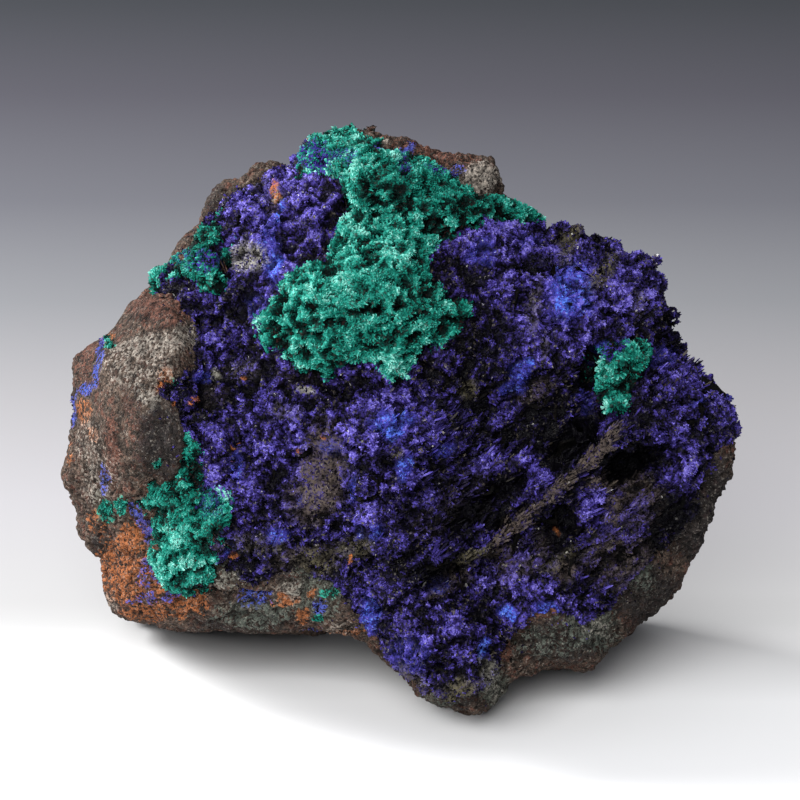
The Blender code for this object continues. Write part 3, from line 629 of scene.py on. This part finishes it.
# Pieces: the skin is parted into the rock and the growths that lie on it
pieceSettings = {
    "evening": 60,  # passes that smooth the hidden faces under the growths
    "under": (0.5, 2.4),  # how far a growth's underside lies below its top, at its border and beyond
    "sink": (0.2, 3.4),  # and how far the rock does
    "frontShare": 0.42,  # the share of triangles that the rock keeps where it shows in front,
    "backShare": 0.33,  # where it shows at the back
    "hiddenShare": 0.1,  # and under the growths; a growth's underside keeps this too
}
carried = ["front", "crest"] + list(tones)


def triangleMesh(name, points, triangles, values):
    mesh = bpy.data.meshes.new(name)
    mesh.vertices.add(len(points))
    mesh.vertices.foreach_set("co", (points * mm).astype(np.float32).ravel())
    mesh.loops.add(triangles.size)
    mesh.loops.foreach_set("vertex_index", triangles.astype(np.int32).ravel())
    mesh.polygons.add(len(triangles))
    mesh.polygons.foreach_set("loop_start", np.arange(0, triangles.size, 3, dtype=np.int32))
    mesh.update(calc_edges=True)
    for label, numbers in values.items():
        setValues(mesh, label, numbers)
    return mesh


def evenedPoints(points, triangles, share):
    # smooths the places whose share is high
    here = triangles.ravel()
    there = triangles[:, (1, 2, 0)].ravel()
    near = share[here] > 0.01
    here, there = here[near], there[near]
    count = np.maximum(np.bincount(here, minlength=len(points)), 1)
    for _ in range(pieceSettings["evening"]):
        mean = [np.bincount(here, points[there, axis], len(points)) / count for axis in range(3)]
        points = points + (np.stack(mean, axis=1) - points) * share[:, None]
    return points


def spreadHighest(values, triangles, passes):
    # each point takes the highest value among those around it, again for each pass
    here = triangles.ravel()
    there = triangles[:, (1, 2, 0)].ravel()
    for _ in range(passes):
        values = values.copy()
        np.maximum.at(values, here, values[there])
    return values


def thinnedMesh(piece, triangles, regions):
    # each region is a mask of points and the share of its triangles that stays
    left = len(triangles)
    for i, (mask, share) in enumerate(regions):
        taken = mask[triangles].all(1).sum() * (1 - share)
        group = piece.vertex_groups.new(name=f"region {i}")
        group.add(np.flatnonzero(mask).tolist(), 1.0, "REPLACE")
        decimate = piece.modifiers.new(group.name, "DECIMATE")
        decimate.vertex_group = group.name
        decimate.ratio = (left - taken) / left
        left -= taken
    return bakedMesh(piece)


def shellOf(name, top, bottom, triangles, values):
    # closes the triangles with the bottom's points, and thins that underside
    used, corners = np.unique(triangles, return_inverse=True)
    corners = corners.reshape(-1, 3)
    count = len(used)
    sides = np.concatenate((corners[:, (0, 1)], corners[:, (1, 2)], corners[:, (2, 0)]))
    keys = sides[:, 0].astype(np.int64) * count + sides[:, 1]
    partners = sides[:, 1].astype(np.int64) * count + sides[:, 0]
    a, b = sides[~np.isin(keys, partners)].T
    rim = np.concatenate((np.stack((b, a, a + count), 1), np.stack((b, a + count, b + count), 1)))
    every = np.concatenate((corners, corners[:, ::-1] + count, rim))
    points = np.concatenate((top[used], bottom[used]))
    values = {label: np.tile(numbers[used], 2) for label, numbers in values.items()}
    piece = newPiece(name, triangleMesh(name, points, every, values))
    return thinnedMesh(piece, every, [(np.arange(2 * count) >= count, pieceSettings["hiddenShare"])])


def partSkin(mesh):
    points = readPoints(mesh)
    normals = readNormals(mesh)
    triangles = readTriangles(mesh)
    values = {name: getValues(mesh, name) for name in carried}
    shares = {name: getValues(mesh, "in_" + name) for name in growths}
    covered = values["cover"] = np.max(list(shares.values()), axis=0)
    inside = softStep(covered, 0.5, 0.9)
    evened = evenedPoints(points, triangles, inside)
    above = ((evened - points) * evenNormals).sum(1)  # of the smoothed surface over the true one
    above = np.maximum(above, spreadHighest(above, triangles, 5) * inside)
    below = {}
    for name in ("under", "sink"):
        shallow, deep = pieceSettings[name]
        drop = np.maximum(shallow + (deep - shallow) * inside, above + 1.5 * shallow + 0.3 * deep * inside)
        below[name] = evened - evenNormals * np.where(covered > 0.5, drop, 0)[:, None]
        below[name][:, 2] = np.maximum(below[name][:, 2], 0.0)
    front = (values["front"] > 0.3) & (covered < 0.5)
    hidden = inside > 0.9
    piece = newPiece("matrix", triangleMesh("matrix", below["sink"], triangles, values))
    meshes = {"matrix": thinnedMesh(piece, triangles, [
        (hidden, pieceSettings["hiddenShare"]), (front, pieceSettings["frontShare"]),
        (~(front | hidden), pieceSettings["backShare"]),
    ])}
    for name in growths:
        mine = shares[name][triangles].mean(1)
        rest = [shares[other][triangles].mean(1) for other in growths if other != name]
        owned = triangles[(mine > 0.5) & (mine >= np.max(rest, axis=0))]
        meshes[name] = shellOf(name, points, below["under"], owned, values)
    dropIslands(meshes["azurite"])
    return meshes


print("parting the skin")
meshes = partSkin(skin)


# Node trees: small helpers for shader and geometry nodes
def addNode(tree, kind, inputs=None, **settings):
    node = tree.nodes.new(kind)
    for name, value in settings.items():
        setattr(node, name, value)
    for name, value in (inputs or {}).items():
        socket = node.inputs[name]
        if isinstance(value, bpy.types.NodeSocket):
            tree.links.new(value, socket)
        else:
            socket.default_value = value
    return node


def output(tree, kind, inputs=None, **settings):
    return addNode(tree, kind, inputs, **settings).outputs[0]


def calculate(tree, operation, first, second=0.0, third=None):
    inputs = {0: first, 1: second}
    if third is not None:
        inputs[2] = third
    return addNode(tree, "ShaderNodeMath", inputs, operation=operation).outputs[0]


def product(tree, first, *factors):
    for factor in factors:
        first = calculate(tree, "MULTIPLY", first, factor)
    return first


def ramp(tree, factor, low, high, start=0.0, end=1.0):
    node = addNode(tree, "ShaderNodeMapRange", {0: factor, 1: low, 2: high, 3: start, 4: end})
    return node.outputs[0]


def weighted(tree, start, *terms):
    # start + weight * source for each (source, weight)
    result = start
    for source, weight in terms:
        result = calculate(tree, "MULTIPLY_ADD", source, weight, result)
    return result


def vectorSum(tree, first, second):
    return output(tree, "ShaderNodeVectorMath", {0: first, 1: second})


def vectorTimes(tree, vector, factor):
    return output(tree, "ShaderNodeVectorMath", {0: vector, "Scale": factor}, operation="SCALE")


# Sprouting: small bodies spread over a surface, all made by one tree
sproutSockets = [
    ("Shape", "Object", None), ("Material", "Material", None), ("Where", "String", ""),
    ("Density", "Float", 1.0), ("From X", "Float", -1.0), ("To X", "Float", 1.0),
    ("Length", "Float", 1.0), ("Width", "Float", 1.0), ("Thickness", "Float", 1.0),
    ("Lean", "Float", 0.5), ("Swirl", "Float", 6.0), ("Jitter", "Float", 0.3),
    ("Lay", "Vector", (0, 0, 0)), ("Seed", "Int", 0),
]


def sproutTree():
    tree = bpy.data.node_groups.new("sprouts", "GeometryNodeTree")
    for way in ("INPUT", "OUTPUT"):
        tree.interface.new_socket("Geometry", in_out=way, socket_type="NodeSocketGeometry")
    for name, kind, value in sproutSockets:
        socket = tree.interface.new_socket(name, in_out="INPUT", socket_type="NodeSocket" + kind)
        if value is not None:
            socket.default_value = value
    given = tree.nodes.new("NodeGroupInput").outputs
    place = output(tree, "GeometryNodeInputPosition")
    acrossX = output(tree, "ShaderNodeSeparateXYZ", {0: place})
    after = calculate(tree, "GREATER_THAN", acrossX, given["From X"])
    before = calculate(tree, "LESS_THAN", acrossX, given["To X"])
    where = output(tree, "GeometryNodeInputNamedAttribute", {"Name": given["Where"]})
    spread = addNode(tree, "GeometryNodeDistributePointsOnFaces", {
        "Mesh": given["Geometry"],
        "Selection": product(tree, after, before),
        "Density": product(tree, where, given["Density"]),
        "Seed": given["Seed"],
    })
    swirl = addNode(tree, "ShaderNodeTexNoise", {
        "Vector": place, "Scale": calculate(tree, "DIVIDE", 1000.0, given["Swirl"]), "Detail": 1.0,
    }).outputs["Color"]
    swirl = vectorSum(tree, swirl, (-0.5, -0.5, -0.5))
    rough = {"data_type": "FLOAT_VECTOR"}
    jitter = output(tree, "FunctionNodeRandomValue", {
        0: (-1, -1, -1), 1: (1, 1, 1), "ID": addNode(tree, "GeometryNodeInputIndex").outputs[0], "Seed": 3,
    }, **rough)
    way = vectorSum(tree, spread.outputs["Normal"], given["Lay"])
    way = vectorSum(tree, way, vectorTimes(tree, swirl, product(tree, given["Lean"], 4.0)))
    way = vectorSum(tree, way, vectorTimes(tree, jitter, given["Jitter"]))
    turn = output(tree, "FunctionNodeAlignRotationToVector", {"Vector": way}, axis="Z")
    flow = vectorSum(tree, swirl, vectorTimes(tree, jitter, 0.12))
    turn = output(tree, "FunctionNodeAlignRotationToVector", {
        "Rotation": turn, "Vector": flow,
    }, axis="X", pivot_axis="Z")
    sizes = output(tree, "FunctionNodeRandomValue", {
        0: (0.6, 0.6, 0.5), 1: (1.3, 1.4, 1.35), "Seed": 5,
    }, **rough)
    grow = output(tree, "GeometryNodeInputNamedAttribute", {"Name": "grow"})
    size = output(tree, "ShaderNodeCombineXYZ", {
        0: given["Width"], 1: given["Thickness"], 2: given["Length"],
    })
    size = output(tree, "ShaderNodeVectorMath", {0: size, 1: sizes}, operation="MULTIPLY")
    size = vectorTimes(tree, size, grow)
    shape = addNode(tree, "GeometryNodeObjectInfo", {"Object": given["Shape"], "As Instance": True})
    planted = output(tree, "GeometryNodeInstanceOnPoints", {
        "Points": spread.outputs["Points"], "Instance": shape.outputs["Geometry"],
        "Rotation": turn, "Scale": size,
    })
    tone = addNode(tree, "FunctionNodeRandomValue", {"Seed": 9}).outputs[1]
    toned = output(tree, "GeometryNodeStoreNamedAttribute", {
        "Geometry": planted, "Name": "tone", "Value": tone,
    }, domain="INSTANCE")
    plain = output(tree, "GeometryNodeRealizeInstances", {"Geometry": toned})
    finished = output(tree, "GeometryNodeSetMaterial", {
        "Geometry": plain, "Material": given["Material"],
    })
    addNode(tree, "NodeGroupOutput", {"Geometry": finished})
    return tree


def ringedBody(shape, sections):
    # a foot and sides round the sections, whose last ring of corners stays open
    rings = [[shape.verts.new(corner) for corner in section] for section in sections]
    shape.faces.new(rings[0][::-1])
    for low, high in zip(rings, rings[1:]):
        for i in range(len(low)):
            j = (i + 1) % len(low)
            shape.faces.new((low[i], low[j], high[j], high[i]))
    return rings[-1]


def bladeShape(name, shoulders, tip):
    # a flat crystal along Z, closed below: shoulders are (height, width, thickness) sections
    shape = bmesh.new()
    last = ringedBody(shape, [
        [(sx * width / 2, sy * thickness / 2, height) for sx, sy in ((-1, -1), (1, -1), (1, 1), (-1, 1))]
        for height, width, thickness in shoulders
    ])
    left = shape.verts.new((-tip / 2, 0, 1))
    right = shape.verts.new((tip / 2, 0, 1))
    shape.faces.new((last[0], last[1], right, left))
    shape.faces.new((last[1], last[2], right))
    shape.faces.new((last[2], last[3], left, right))
    shape.faces.new((last[3], last[0], left))
    return shapePiece(name, shape)


def flakeShape(name):
    # a small bent flake, closed at both ends
    shape = bmesh.new()
    shape.faces.new(ringedBody(shape, [
        [(sx * half, bend + sy * thick, height) for sx, sy in ((-1, -1), (1, -1), (0, 1))]
        for height, bend, half, thick in ((-0.3, 0.0, 0.5, 0.4), (1.0, 0.5, 0.36, 0.16))
    ]))
    return shapePiece(name, shape)


def shapePiece(name, shape):
    mesh = meshOf(name, shape)
    setValues(mesh, "tip", np.clip(readPoints(mesh)[:, 2] * mm, 0, 1))
    return newPiece(name, mesh)


def sprout(name, ground, tree, **inputs):
    # the tree's result on a copy of the ground, as a plain mesh
    piece = newPiece(name, ground.copy())
    modifier = piece.modifiers.new("sprouts", "NODES")
    modifier.node_group = tree
    sockets = {item.name: item.identifier for item in tree.interface.items_tree if item.in_out == "INPUT"}
    for label, value in inputs.items():
        modifier[sockets[label]] = value
    return bakedMesh(piece)


# Materials
def newMaterial(name, roughness, **sockets):
    material = bpy.data.materials.new(name)
    material.use_nodes = True
    tree = material.node_tree
    shader = tree.nodes["Principled BSDF"]
    shader.inputs["Roughness"].default_value = roughness
    for label, value in sockets.items():
        shader.inputs[label.replace("_", " ")].default_value = value
    return material, tree, shader


def mineralGrain():
    # speckles of two widths and loose grains, 0 to 1, on Object coordinates
    group = bpy.data.node_groups.new("mineral grain", "ShaderNodeTree")
    width = group.interface.new_socket("Width", in_out="INPUT", socket_type="NodeSocketFloat")
    width.default_value = 1.0
    for name in ("Fine", "Coarse", "Cells", "Tint"):
        group.interface.new_socket(name, in_out="OUTPUT", socket_type="NodeSocketFloat")
    given = group.nodes.new("NodeGroupInput").outputs
    place = group.nodes.new("ShaderNodeTexCoord").outputs["Object"]
    scale = calculate(group, "DIVIDE", 1000.0, given["Width"])
    fine = addNode(group, "ShaderNodeTexNoise", {"Vector": place, "Scale": scale, "Detail": 3.0})
    coarse = addNode(group, "ShaderNodeTexNoise", {
        "Vector": place, "Scale": product(group, scale, 0.16), "Detail": 4.0, "Roughness": 0.6,
    })
    cells = addNode(group, "ShaderNodeTexVoronoi", {"Vector": place, "Scale": scale})
    tint = addNode(group, "ShaderNodeSeparateColor", {0: cells.outputs["Color"]})
    out = group.nodes.new("NodeGroupOutput").inputs
    for name, noise in (("Fine", fine), ("Coarse", coarse)):
        group.links.new(ramp(group, noise.outputs[0], 0.3, 0.7), out[name])
    group.links.new(cells.outputs["Distance"], out["Cells"])
    group.links.new(tint.outputs[0], out["Tint"])
    return group


grainGroup = mineralGrain()


def grain(tree, width):
    node = addNode(tree, "ShaderNodeGroup", node_tree=grainGroup)
    node.inputs["Width"].default_value = width
    return node.outputs


def value(tree, name):
    return addNode(tree, "ShaderNodeAttribute", attribute_name=name).outputs["Fac"]


def blend(tree, factor, first, second, mode="MIX"):
    first, second = [(*colour, 1.0) if isinstance(colour, tuple) else colour for colour in (first, second)]
    inputs = {0: factor, 6: first, 7: second}
    return addNode(tree, "ShaderNodeMix", inputs, data_type="RGBA", blend_type=mode).outputs[2]


def colourRamp(tree, factor, stops):
    # stops are (place, colour): the lowest, the highest and then those between
    node = addNode(tree, "ShaderNodeValToRGB", {0: factor})
    marks = node.color_ramp.elements
    for i, (place, colour) in enumerate(stops):
        mark = marks[i] if i < 2 else marks.new(place)
        mark.position = place
        mark.color = (*colour, 1.0)
    return node.outputs[0]


def crystalTone(tree, cells):
    # the tone of a crystal, or of a grain where there is none
    tone = value(tree, "tone")
    return calculate(tree, "MULTIPLY_ADD", calculate(tree, "LESS_THAN", tone, 1e-5), cells, tone)


def bumped(tree, shader, height, distance, strength=1.0):
    inputs = {"Height": height, "Distance": distance * mm, "Strength": strength}
    tree.links.new(output(tree, "ShaderNodeBump", inputs), shader.inputs["Normal"])


azuriteColours = {
    "levels": [
        (0.0, (0.0012, 0.0010, 0.0018)), (1.0, (0.145, 0.120, 0.410)), (0.30, (0.006, 0.0045, 0.017)),
        (0.55, (0.021, 0.0145, 0.088)), (0.80, (0.060, 0.045, 0.258)),
    ],
    "grey": (0.052, 0.043, 0.030),
    "blue": (0.036, 0.040, 0.31),
    "powder": (0.075, 0.17, 0.62),
    "stone": (0.062, 0.048, 0.040),
    "olive": (0.070, 0.062, 0.036),
    "tan": (0.22, 0.21, 0.17),
    "rust": (0.34, 0.110, 0.03),
}
azuritePaints = [  # tone, colour, where it starts and is full, and the speckle that breaks it up
    ("stone", "stone", 0.15, 0.7, "Tint"), ("powder", "blue", 0.2, 0.9, "Fine"),
    ("olive", "olive", 0.2, 0.8, "Tint"), ("pale", "tan", 0.3, 0.8, "Tint"),
    ("rust", "rust", 0.4, 0.8, "Fine"),
]


def azuriteMaterial():
    material, tree, shader = newMaterial("azurite", 0.35, Specular_IOR_Level=0.04, Coat_Roughness=0.15)
    fine = grain(tree, 0.4)
    patches = grain(tree, 1.9)
    tone = crystalTone(tree, fine["Tint"])
    pick = calculate(tree, "FRACT", product(tree, tone, 7.31))
    # painted light and shade: the blue is brighter on the crests and where the lit mask lies, and near
    # black in the gaps and caverns
    crest = product(tree, value(tree, "crest"), ramp(tree, value(tree, "cavern_shade"), 0.2, 0.9, 1.0, 0.1))
    level = weighted(tree, -1.02, (value(tree, "lit"), 0.48), (value(tree, "tip"), 0.10), (crest, 0.75),
                     (tone, 0.64), (patches["Fine"], 0.40), (patches["Coarse"], 0.35))
    colour = colourRamp(tree, level, azuriteColours["levels"])
    grey = product(tree, ramp(tree, pick, 0.925, 0.935), crest)
    colour = blend(tree, grey, colour, azuriteColours["grey"])
    for mask, name, low, high, mottle in azuritePaints:
        share = product(tree, ramp(tree, value(tree, mask), low, high), ramp(tree, fine[mottle], 0.15, 0.7),
                        ramp(tree, crest, 0.05, 0.6, 0.1, 1.0))
        colour = blend(tree, share, colour, azuriteColours[name])
    touches = weighted(tree, -0.15, (value(tree, "powder"), 1.0), (pick, 0.7), (fine["Fine"], 0.3))
    touches = product(tree, ramp(tree, touches, 1.15, 1.4), crest)
    colour = blend(tree, touches, colour, azuriteColours["powder"])
    tree.links.new(colour, shader.inputs["Base Color"])
    tree.links.new(ramp(tree, fine["Fine"], 0.0, 1.0, 0.3, 0.6), shader.inputs["Roughness"])
    tree.links.new(product(tree, crest, ramp(tree, pick, 0.92, 1.0)), shader.inputs["Coat Weight"])
    bumped(tree, shader, fine["Cells"], 0.25, 0.6)
    return material


malachiteColours = {
    "levels": [
        (0.0, (0.0012, 0.004, 0.0035)), (1.0, (0.20, 0.53, 0.45)), (0.28, (0.002, 0.026, 0.020)),
        (0.55, (0.004, 0.140, 0.103)), (0.80, (0.036, 0.285, 0.225)),
    ],
    "pore": (0.022, 0.006, 0.006),
    "violet": (0.034, 0.024, 0.19),
}


def malachiteMaterial():
    material, tree, shader = newMaterial("malachite", 0.6, Specular_IOR_Level=0.06)
    fine = grain(tree, 0.32)
    patches = grain(tree, 2.6)
    tone = crystalTone(tree, fine["Tint"])
    pick = calculate(tree, "FRACT", product(tree, tone, 9.17))
    # painted shade: the green falls to near black in the gaps and pockets, where crest is low
    level = weighted(tree, -0.63, (value(tree, "crest"), 0.66), (value(tree, "tip"), 0.22), (tone, 0.36),
                     (value(tree, "mint"), 0.32), (patches["Fine"], 0.42), (patches["Coarse"], 0.26))
    colour = colourRamp(tree, level, malachiteColours["levels"])
    colour = blend(tree, product(tree, ramp(tree, pick, 0.92, 0.94), 0.8), colour, malachiteColours["pore"])
    violet = ramp(tree, value(tree, "violet"), 0.1, 0.6)
    violet = product(tree, violet, ramp(tree, pick, 0.38, 0.42, 1.0, 0.0))
    colour = blend(tree, violet, colour, malachiteColours["violet"])
    tree.links.new(colour, shader.inputs["Base Color"])
    bumped(tree, shader, fine["Fine"], 0.2, 0.7)
    return material


rockColours = {
    "brown": (0.110, 0.076, 0.057),
    "umber": (0.030, 0.023, 0.019),
    "pale": (0.275, 0.25, 0.215),
    "red": (0.125, 0.052, 0.036),
    "rust": (0.30, 0.100, 0.034),
    # dark rock colour, also used as painted shade where the rock faces down
    "dark_rock_and_shade": (0.018, 0.017, 0.018),
    "green": (0.095, 0.110, 0.090),
    "blue": (0.060, 0.085, 0.40),
    "teal": (0.03, 0.30, 0.22),
}
rockPaints = [  # tone, its greatest share and how far speckles break it up
    ("red", 0.8, 0.75), ("dark_rock_and_shade", 0.85, 0.75), ("green", 0.8, 0.9), ("rust", 0.85, 1.3),
    ("pale", 0.7, 0.75), ("blue", 0.85, 1.9), ("teal", 1.0, 1.5),
]


def rockMaterial():
    material, tree, shader = newMaterial("limonite rock", 0.85, Specular_IOR_Level=0.1)
    fine = grain(tree, 0.5)
    broad = grain(tree, 1.6)
    sharp = grain(tree, 0.33)
    colour = blend(tree, weighted(tree, 0.0, (broad["Coarse"], 0.6), (fine["Tint"], 0.5)),
                   rockColours["umber"], rockColours["brown"])
    colour = blend(tree, ramp(tree, broad["Fine"], 0.5, 1.0), colour, rockColours["red"])
    for name, most, speckle in rockPaints:
        mask = value(tree, name)
        share = weighted(tree, -0.25 - speckle / 2,
                         (mask, 1.0), (fine["Tint"], speckle), (broad["Fine"], 0.5))
        share = product(tree, ramp(tree, share, 0.3, 0.75), ramp(tree, mask, 0.05, 0.3), most)
        colour = blend(tree, share, colour, rockColours[name])
    for name, start, full, most in (("pale", 0.90, 0.93, 0.35), ("dark_rock_and_shade", 0.12, 0.08, 0.8)):
        share = product(tree, ramp(tree, sharp["Tint"], start, full), most)
        colour = blend(tree, share, colour, rockColours[name])
    # painted shade: besides its speckled grain, the rock is darker in the gaps of its grain, where crest is
    # low, and almost black under the growths, where cover is high
    light = weighted(tree, 0.1, (fine["Tint"], 0.6), (sharp["Fine"], 0.6))
    light = product(tree, light, ramp(tree, value(tree, "crest"), 0.0, 0.6, 0.3, 1.0),
                    ramp(tree, value(tree, "cover"), 0.5, 0.7, 1.0, 0.04))
    shade = output(tree, "ShaderNodeCombineColor", {0: light, 1: light, 2: light})
    colour = blend(tree, 1.0, colour, shade, "MULTIPLY")
    tree.links.new(colour, shader.inputs["Base Color"])
    height = weighted(tree, 0.0, (sharp["Fine"], 0.6), (fine["Cells"], -0.9), (fine["Coarse"], 0.9))
    bumped(tree, shader, height, 0.45, 0.9)
    return material


materials = {"azurite": azuriteMaterial(), "malachite": malachiteMaterial(), "rock": rockMaterial()}

# Crystals and tufts: densities are per square metre and sizes in metres
tree = sproutTree()
blade = bladeShape("blade", ((-0.2, 0.8, 0.8),), 0.55)
lath = bladeShape("lath", ((-0.15, 0.8, 0.8), (0.7, 1.0, 1.0)), 0.5)
flake = flakeShape("flake")
bladeSettings = {
    "Where": "druse", "Length": 0.54 * mm, "Width": 0.54 * mm, "Thickness": 0.3 * mm,
    "Density": 3.8e6, "Lean": 1.2, "Swirl": 3.6, "Jitter": 0.7,
}
lathSettings = {
    "Where": "laths", "Length": 1.7 * mm, "Width": 0.36 * mm, "Thickness": 0.22 * mm,
    "Density": 0.5e6, "Lean": 0.3, "Swirl": 12.0, "Jitter": 0.25,
}
flakeSettings = {
    "Length": 0.62 * mm, "Width": 0.6 * mm, "Thickness": 0.42 * mm,
    "Density": 5.2e6, "Lean": 1.6, "Swirl": 3.5, "Jitter": 0.5,
}
bladeBands = (-0.075, -0.010, 0.026, 0.075)  # where one piece of crystals ends and the next starts


def finishPiece(name, mesh, slot, nodes=()):
    mesh.materials.clear()
    mesh.materials.append(materials[slot])
    piece = newPiece(name, mesh)
    print(name, sum(len(side.vertices) - 2 for side in mesh.polygons), "triangles")
    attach(piece, "root")
    if nodes:
        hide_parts(*nodes)
    return piece


print("growing crystals")
for i, (low, high) in enumerate(zip(bladeBands, bladeBands[1:])):
    shared = {"Shape": blade, "Material": materials["azurite"], "From X": low, "To X": high, "Seed": i}
    blades = sprout("blades", skin, tree, **shared, **bladeSettings)
    finishPiece(f"azurite_blades_{i + 1}", blades, "azurite")
laths = sprout("laths", skin, tree, Shape=lath, Material=materials["azurite"],
               Lay=faceWay(*lay) * 2.4, Seed=7, **lathSettings)
finishPiece("azurite_laths", laths, "azurite")
for i, name in enumerate(growths):
    if name == "azurite":
        finishPiece("azurite_crust", meshes[name], "azurite", [name])
        continue
    flakes = sprout(name, skin, tree, Shape=flake, Material=materials["malachite"],
                    Where="tufts_" + name, Seed=20 + i, **flakeSettings)
    finishPiece(name + "_tufts", joinMeshes(name, (meshes[name], flakes)), "malachite", [name])
finishPiece("rock", meshes["matrix"], "rock", ["matrix"])
for shape in (blade, lath, flake):
    bpy.data.objects.remove(shape)

# Floor, lights and camera
print("setting the studio")
floorSettings = {
    "size": 3.0,
    "nearest": -0.1,  # y in metres where the ramp of tones starts, and its length
    "length": 0.8,
    # painted light: the floor is pale in front of and under the rock, which lightens the rock's shadow
    # there, and darkens towards the back as painted falloff of light
    "tones": [
        (0.05, (0.77, 0.77, 0.775)), (0.92, (0.0305, 0.033, 0.0388)), (0.11, (0.75, 0.75, 0.752)),
        (0.158, (0.375, 0.373, 0.373)), (0.146, (0.46, 0.457, 0.457)), (0.17, (0.343, 0.340, 0.341)),
        (0.245, (0.308, 0.301, 0.313)), (0.33, (0.245, 0.240, 0.248)), (0.434, (0.160, 0.163, 0.173)),
        (0.56, (0.0947, 0.0957, 0.1097)), (0.73, (0.0559, 0.0543, 0.0665)),
    ],
}


lamps = [  # name, place, target and size in metres, and power in watts
    ("left", (-1.1, 0.36, 0.72), (0, 0, 0.05), (0.6, 0.5), 43),
    ("front", (-0.35, -1.15, 0.88), (0, 0, 0.05), (1.0, 0.6), 33.5),
    ("overhead", (0.05, 0.1, 1.4), (0, 0, 0.06), (1.2, 1.0), 3),
]
sky = {"colour": (0.9, 0.92, 1.0, 1.0), "strength": 0.30}


def studioFloor():
    half = floorSettings["size"] / 2
    mesh = bpy.data.meshes.new("floor")
    corners = [(-half, -half, 0), (half, -half, 0), (half, half, 0), (-half, half, 0)]
    mesh.from_pydata(corners, [], [(0, 1, 2, 3)])
    floor = newPiece("floor", mesh)
    material, tree, shader = newMaterial("floor", 0.7, Specular_IOR_Level=0.2)
    place = tree.nodes.new("ShaderNodeTexCoord").outputs["Object"]
    back = addNode(tree, "ShaderNodeSeparateXYZ", {0: place}).outputs[1]
    nearest, length = floorSettings["nearest"], floorSettings["length"]
    # painted light falloff along y, from the tones above
    fade = ramp(tree, back, nearest, nearest + length)
    tree.links.new(colourRamp(tree, fade, floorSettings["tones"]), shader.inputs["Base Color"])
    mesh.materials.append(material)


def softbox(name, place, target, size, power):
    light = bpy.data.lights.new(name, "AREA")
    light.shape = "RECTANGLE"
    light.size, light.size_y = size
    light.energy = power
    lamp = newPiece(name, light)
    lamp.location = place
    lamp.rotation_euler = (Vector(target) - Vector(place)).to_track_quat("-Z", "Y").to_euler()


def photoCamera():
    lens = bpy.data.cameras.new("camera")
    lens.lens = face["lens"]
    lens.sensor_width = face["sensor"]
    camera = newPiece("camera", lens)
    aim = Vector((face["across"], face["back"], face["height"])) + faceWay(0, 1, 0) * face["aimUp"]
    camera.location = (aim + faceWay(0, 0, 1) * face["distance"]) * mm
    camera.rotation_euler = (math.pi / 2 - face["lean"], 0, 0)
    bpy.context.scene.camera = camera


studioFloor()
for softboxSettings in lamps:
    softbox(*softboxSettings)
photoCamera()
world = bpy.data.worlds.new("studio")
world.use_nodes = True
background = world.node_tree.nodes["Background"].inputs
background["Color"].default_value = sky["colour"]
background["Strength"].default_value = sky["strength"]
bpy.context.scene.world = world
bpy.context.scene.view_settings.view_transform = "Standard"

bpy.data.meshes.remove(skin)
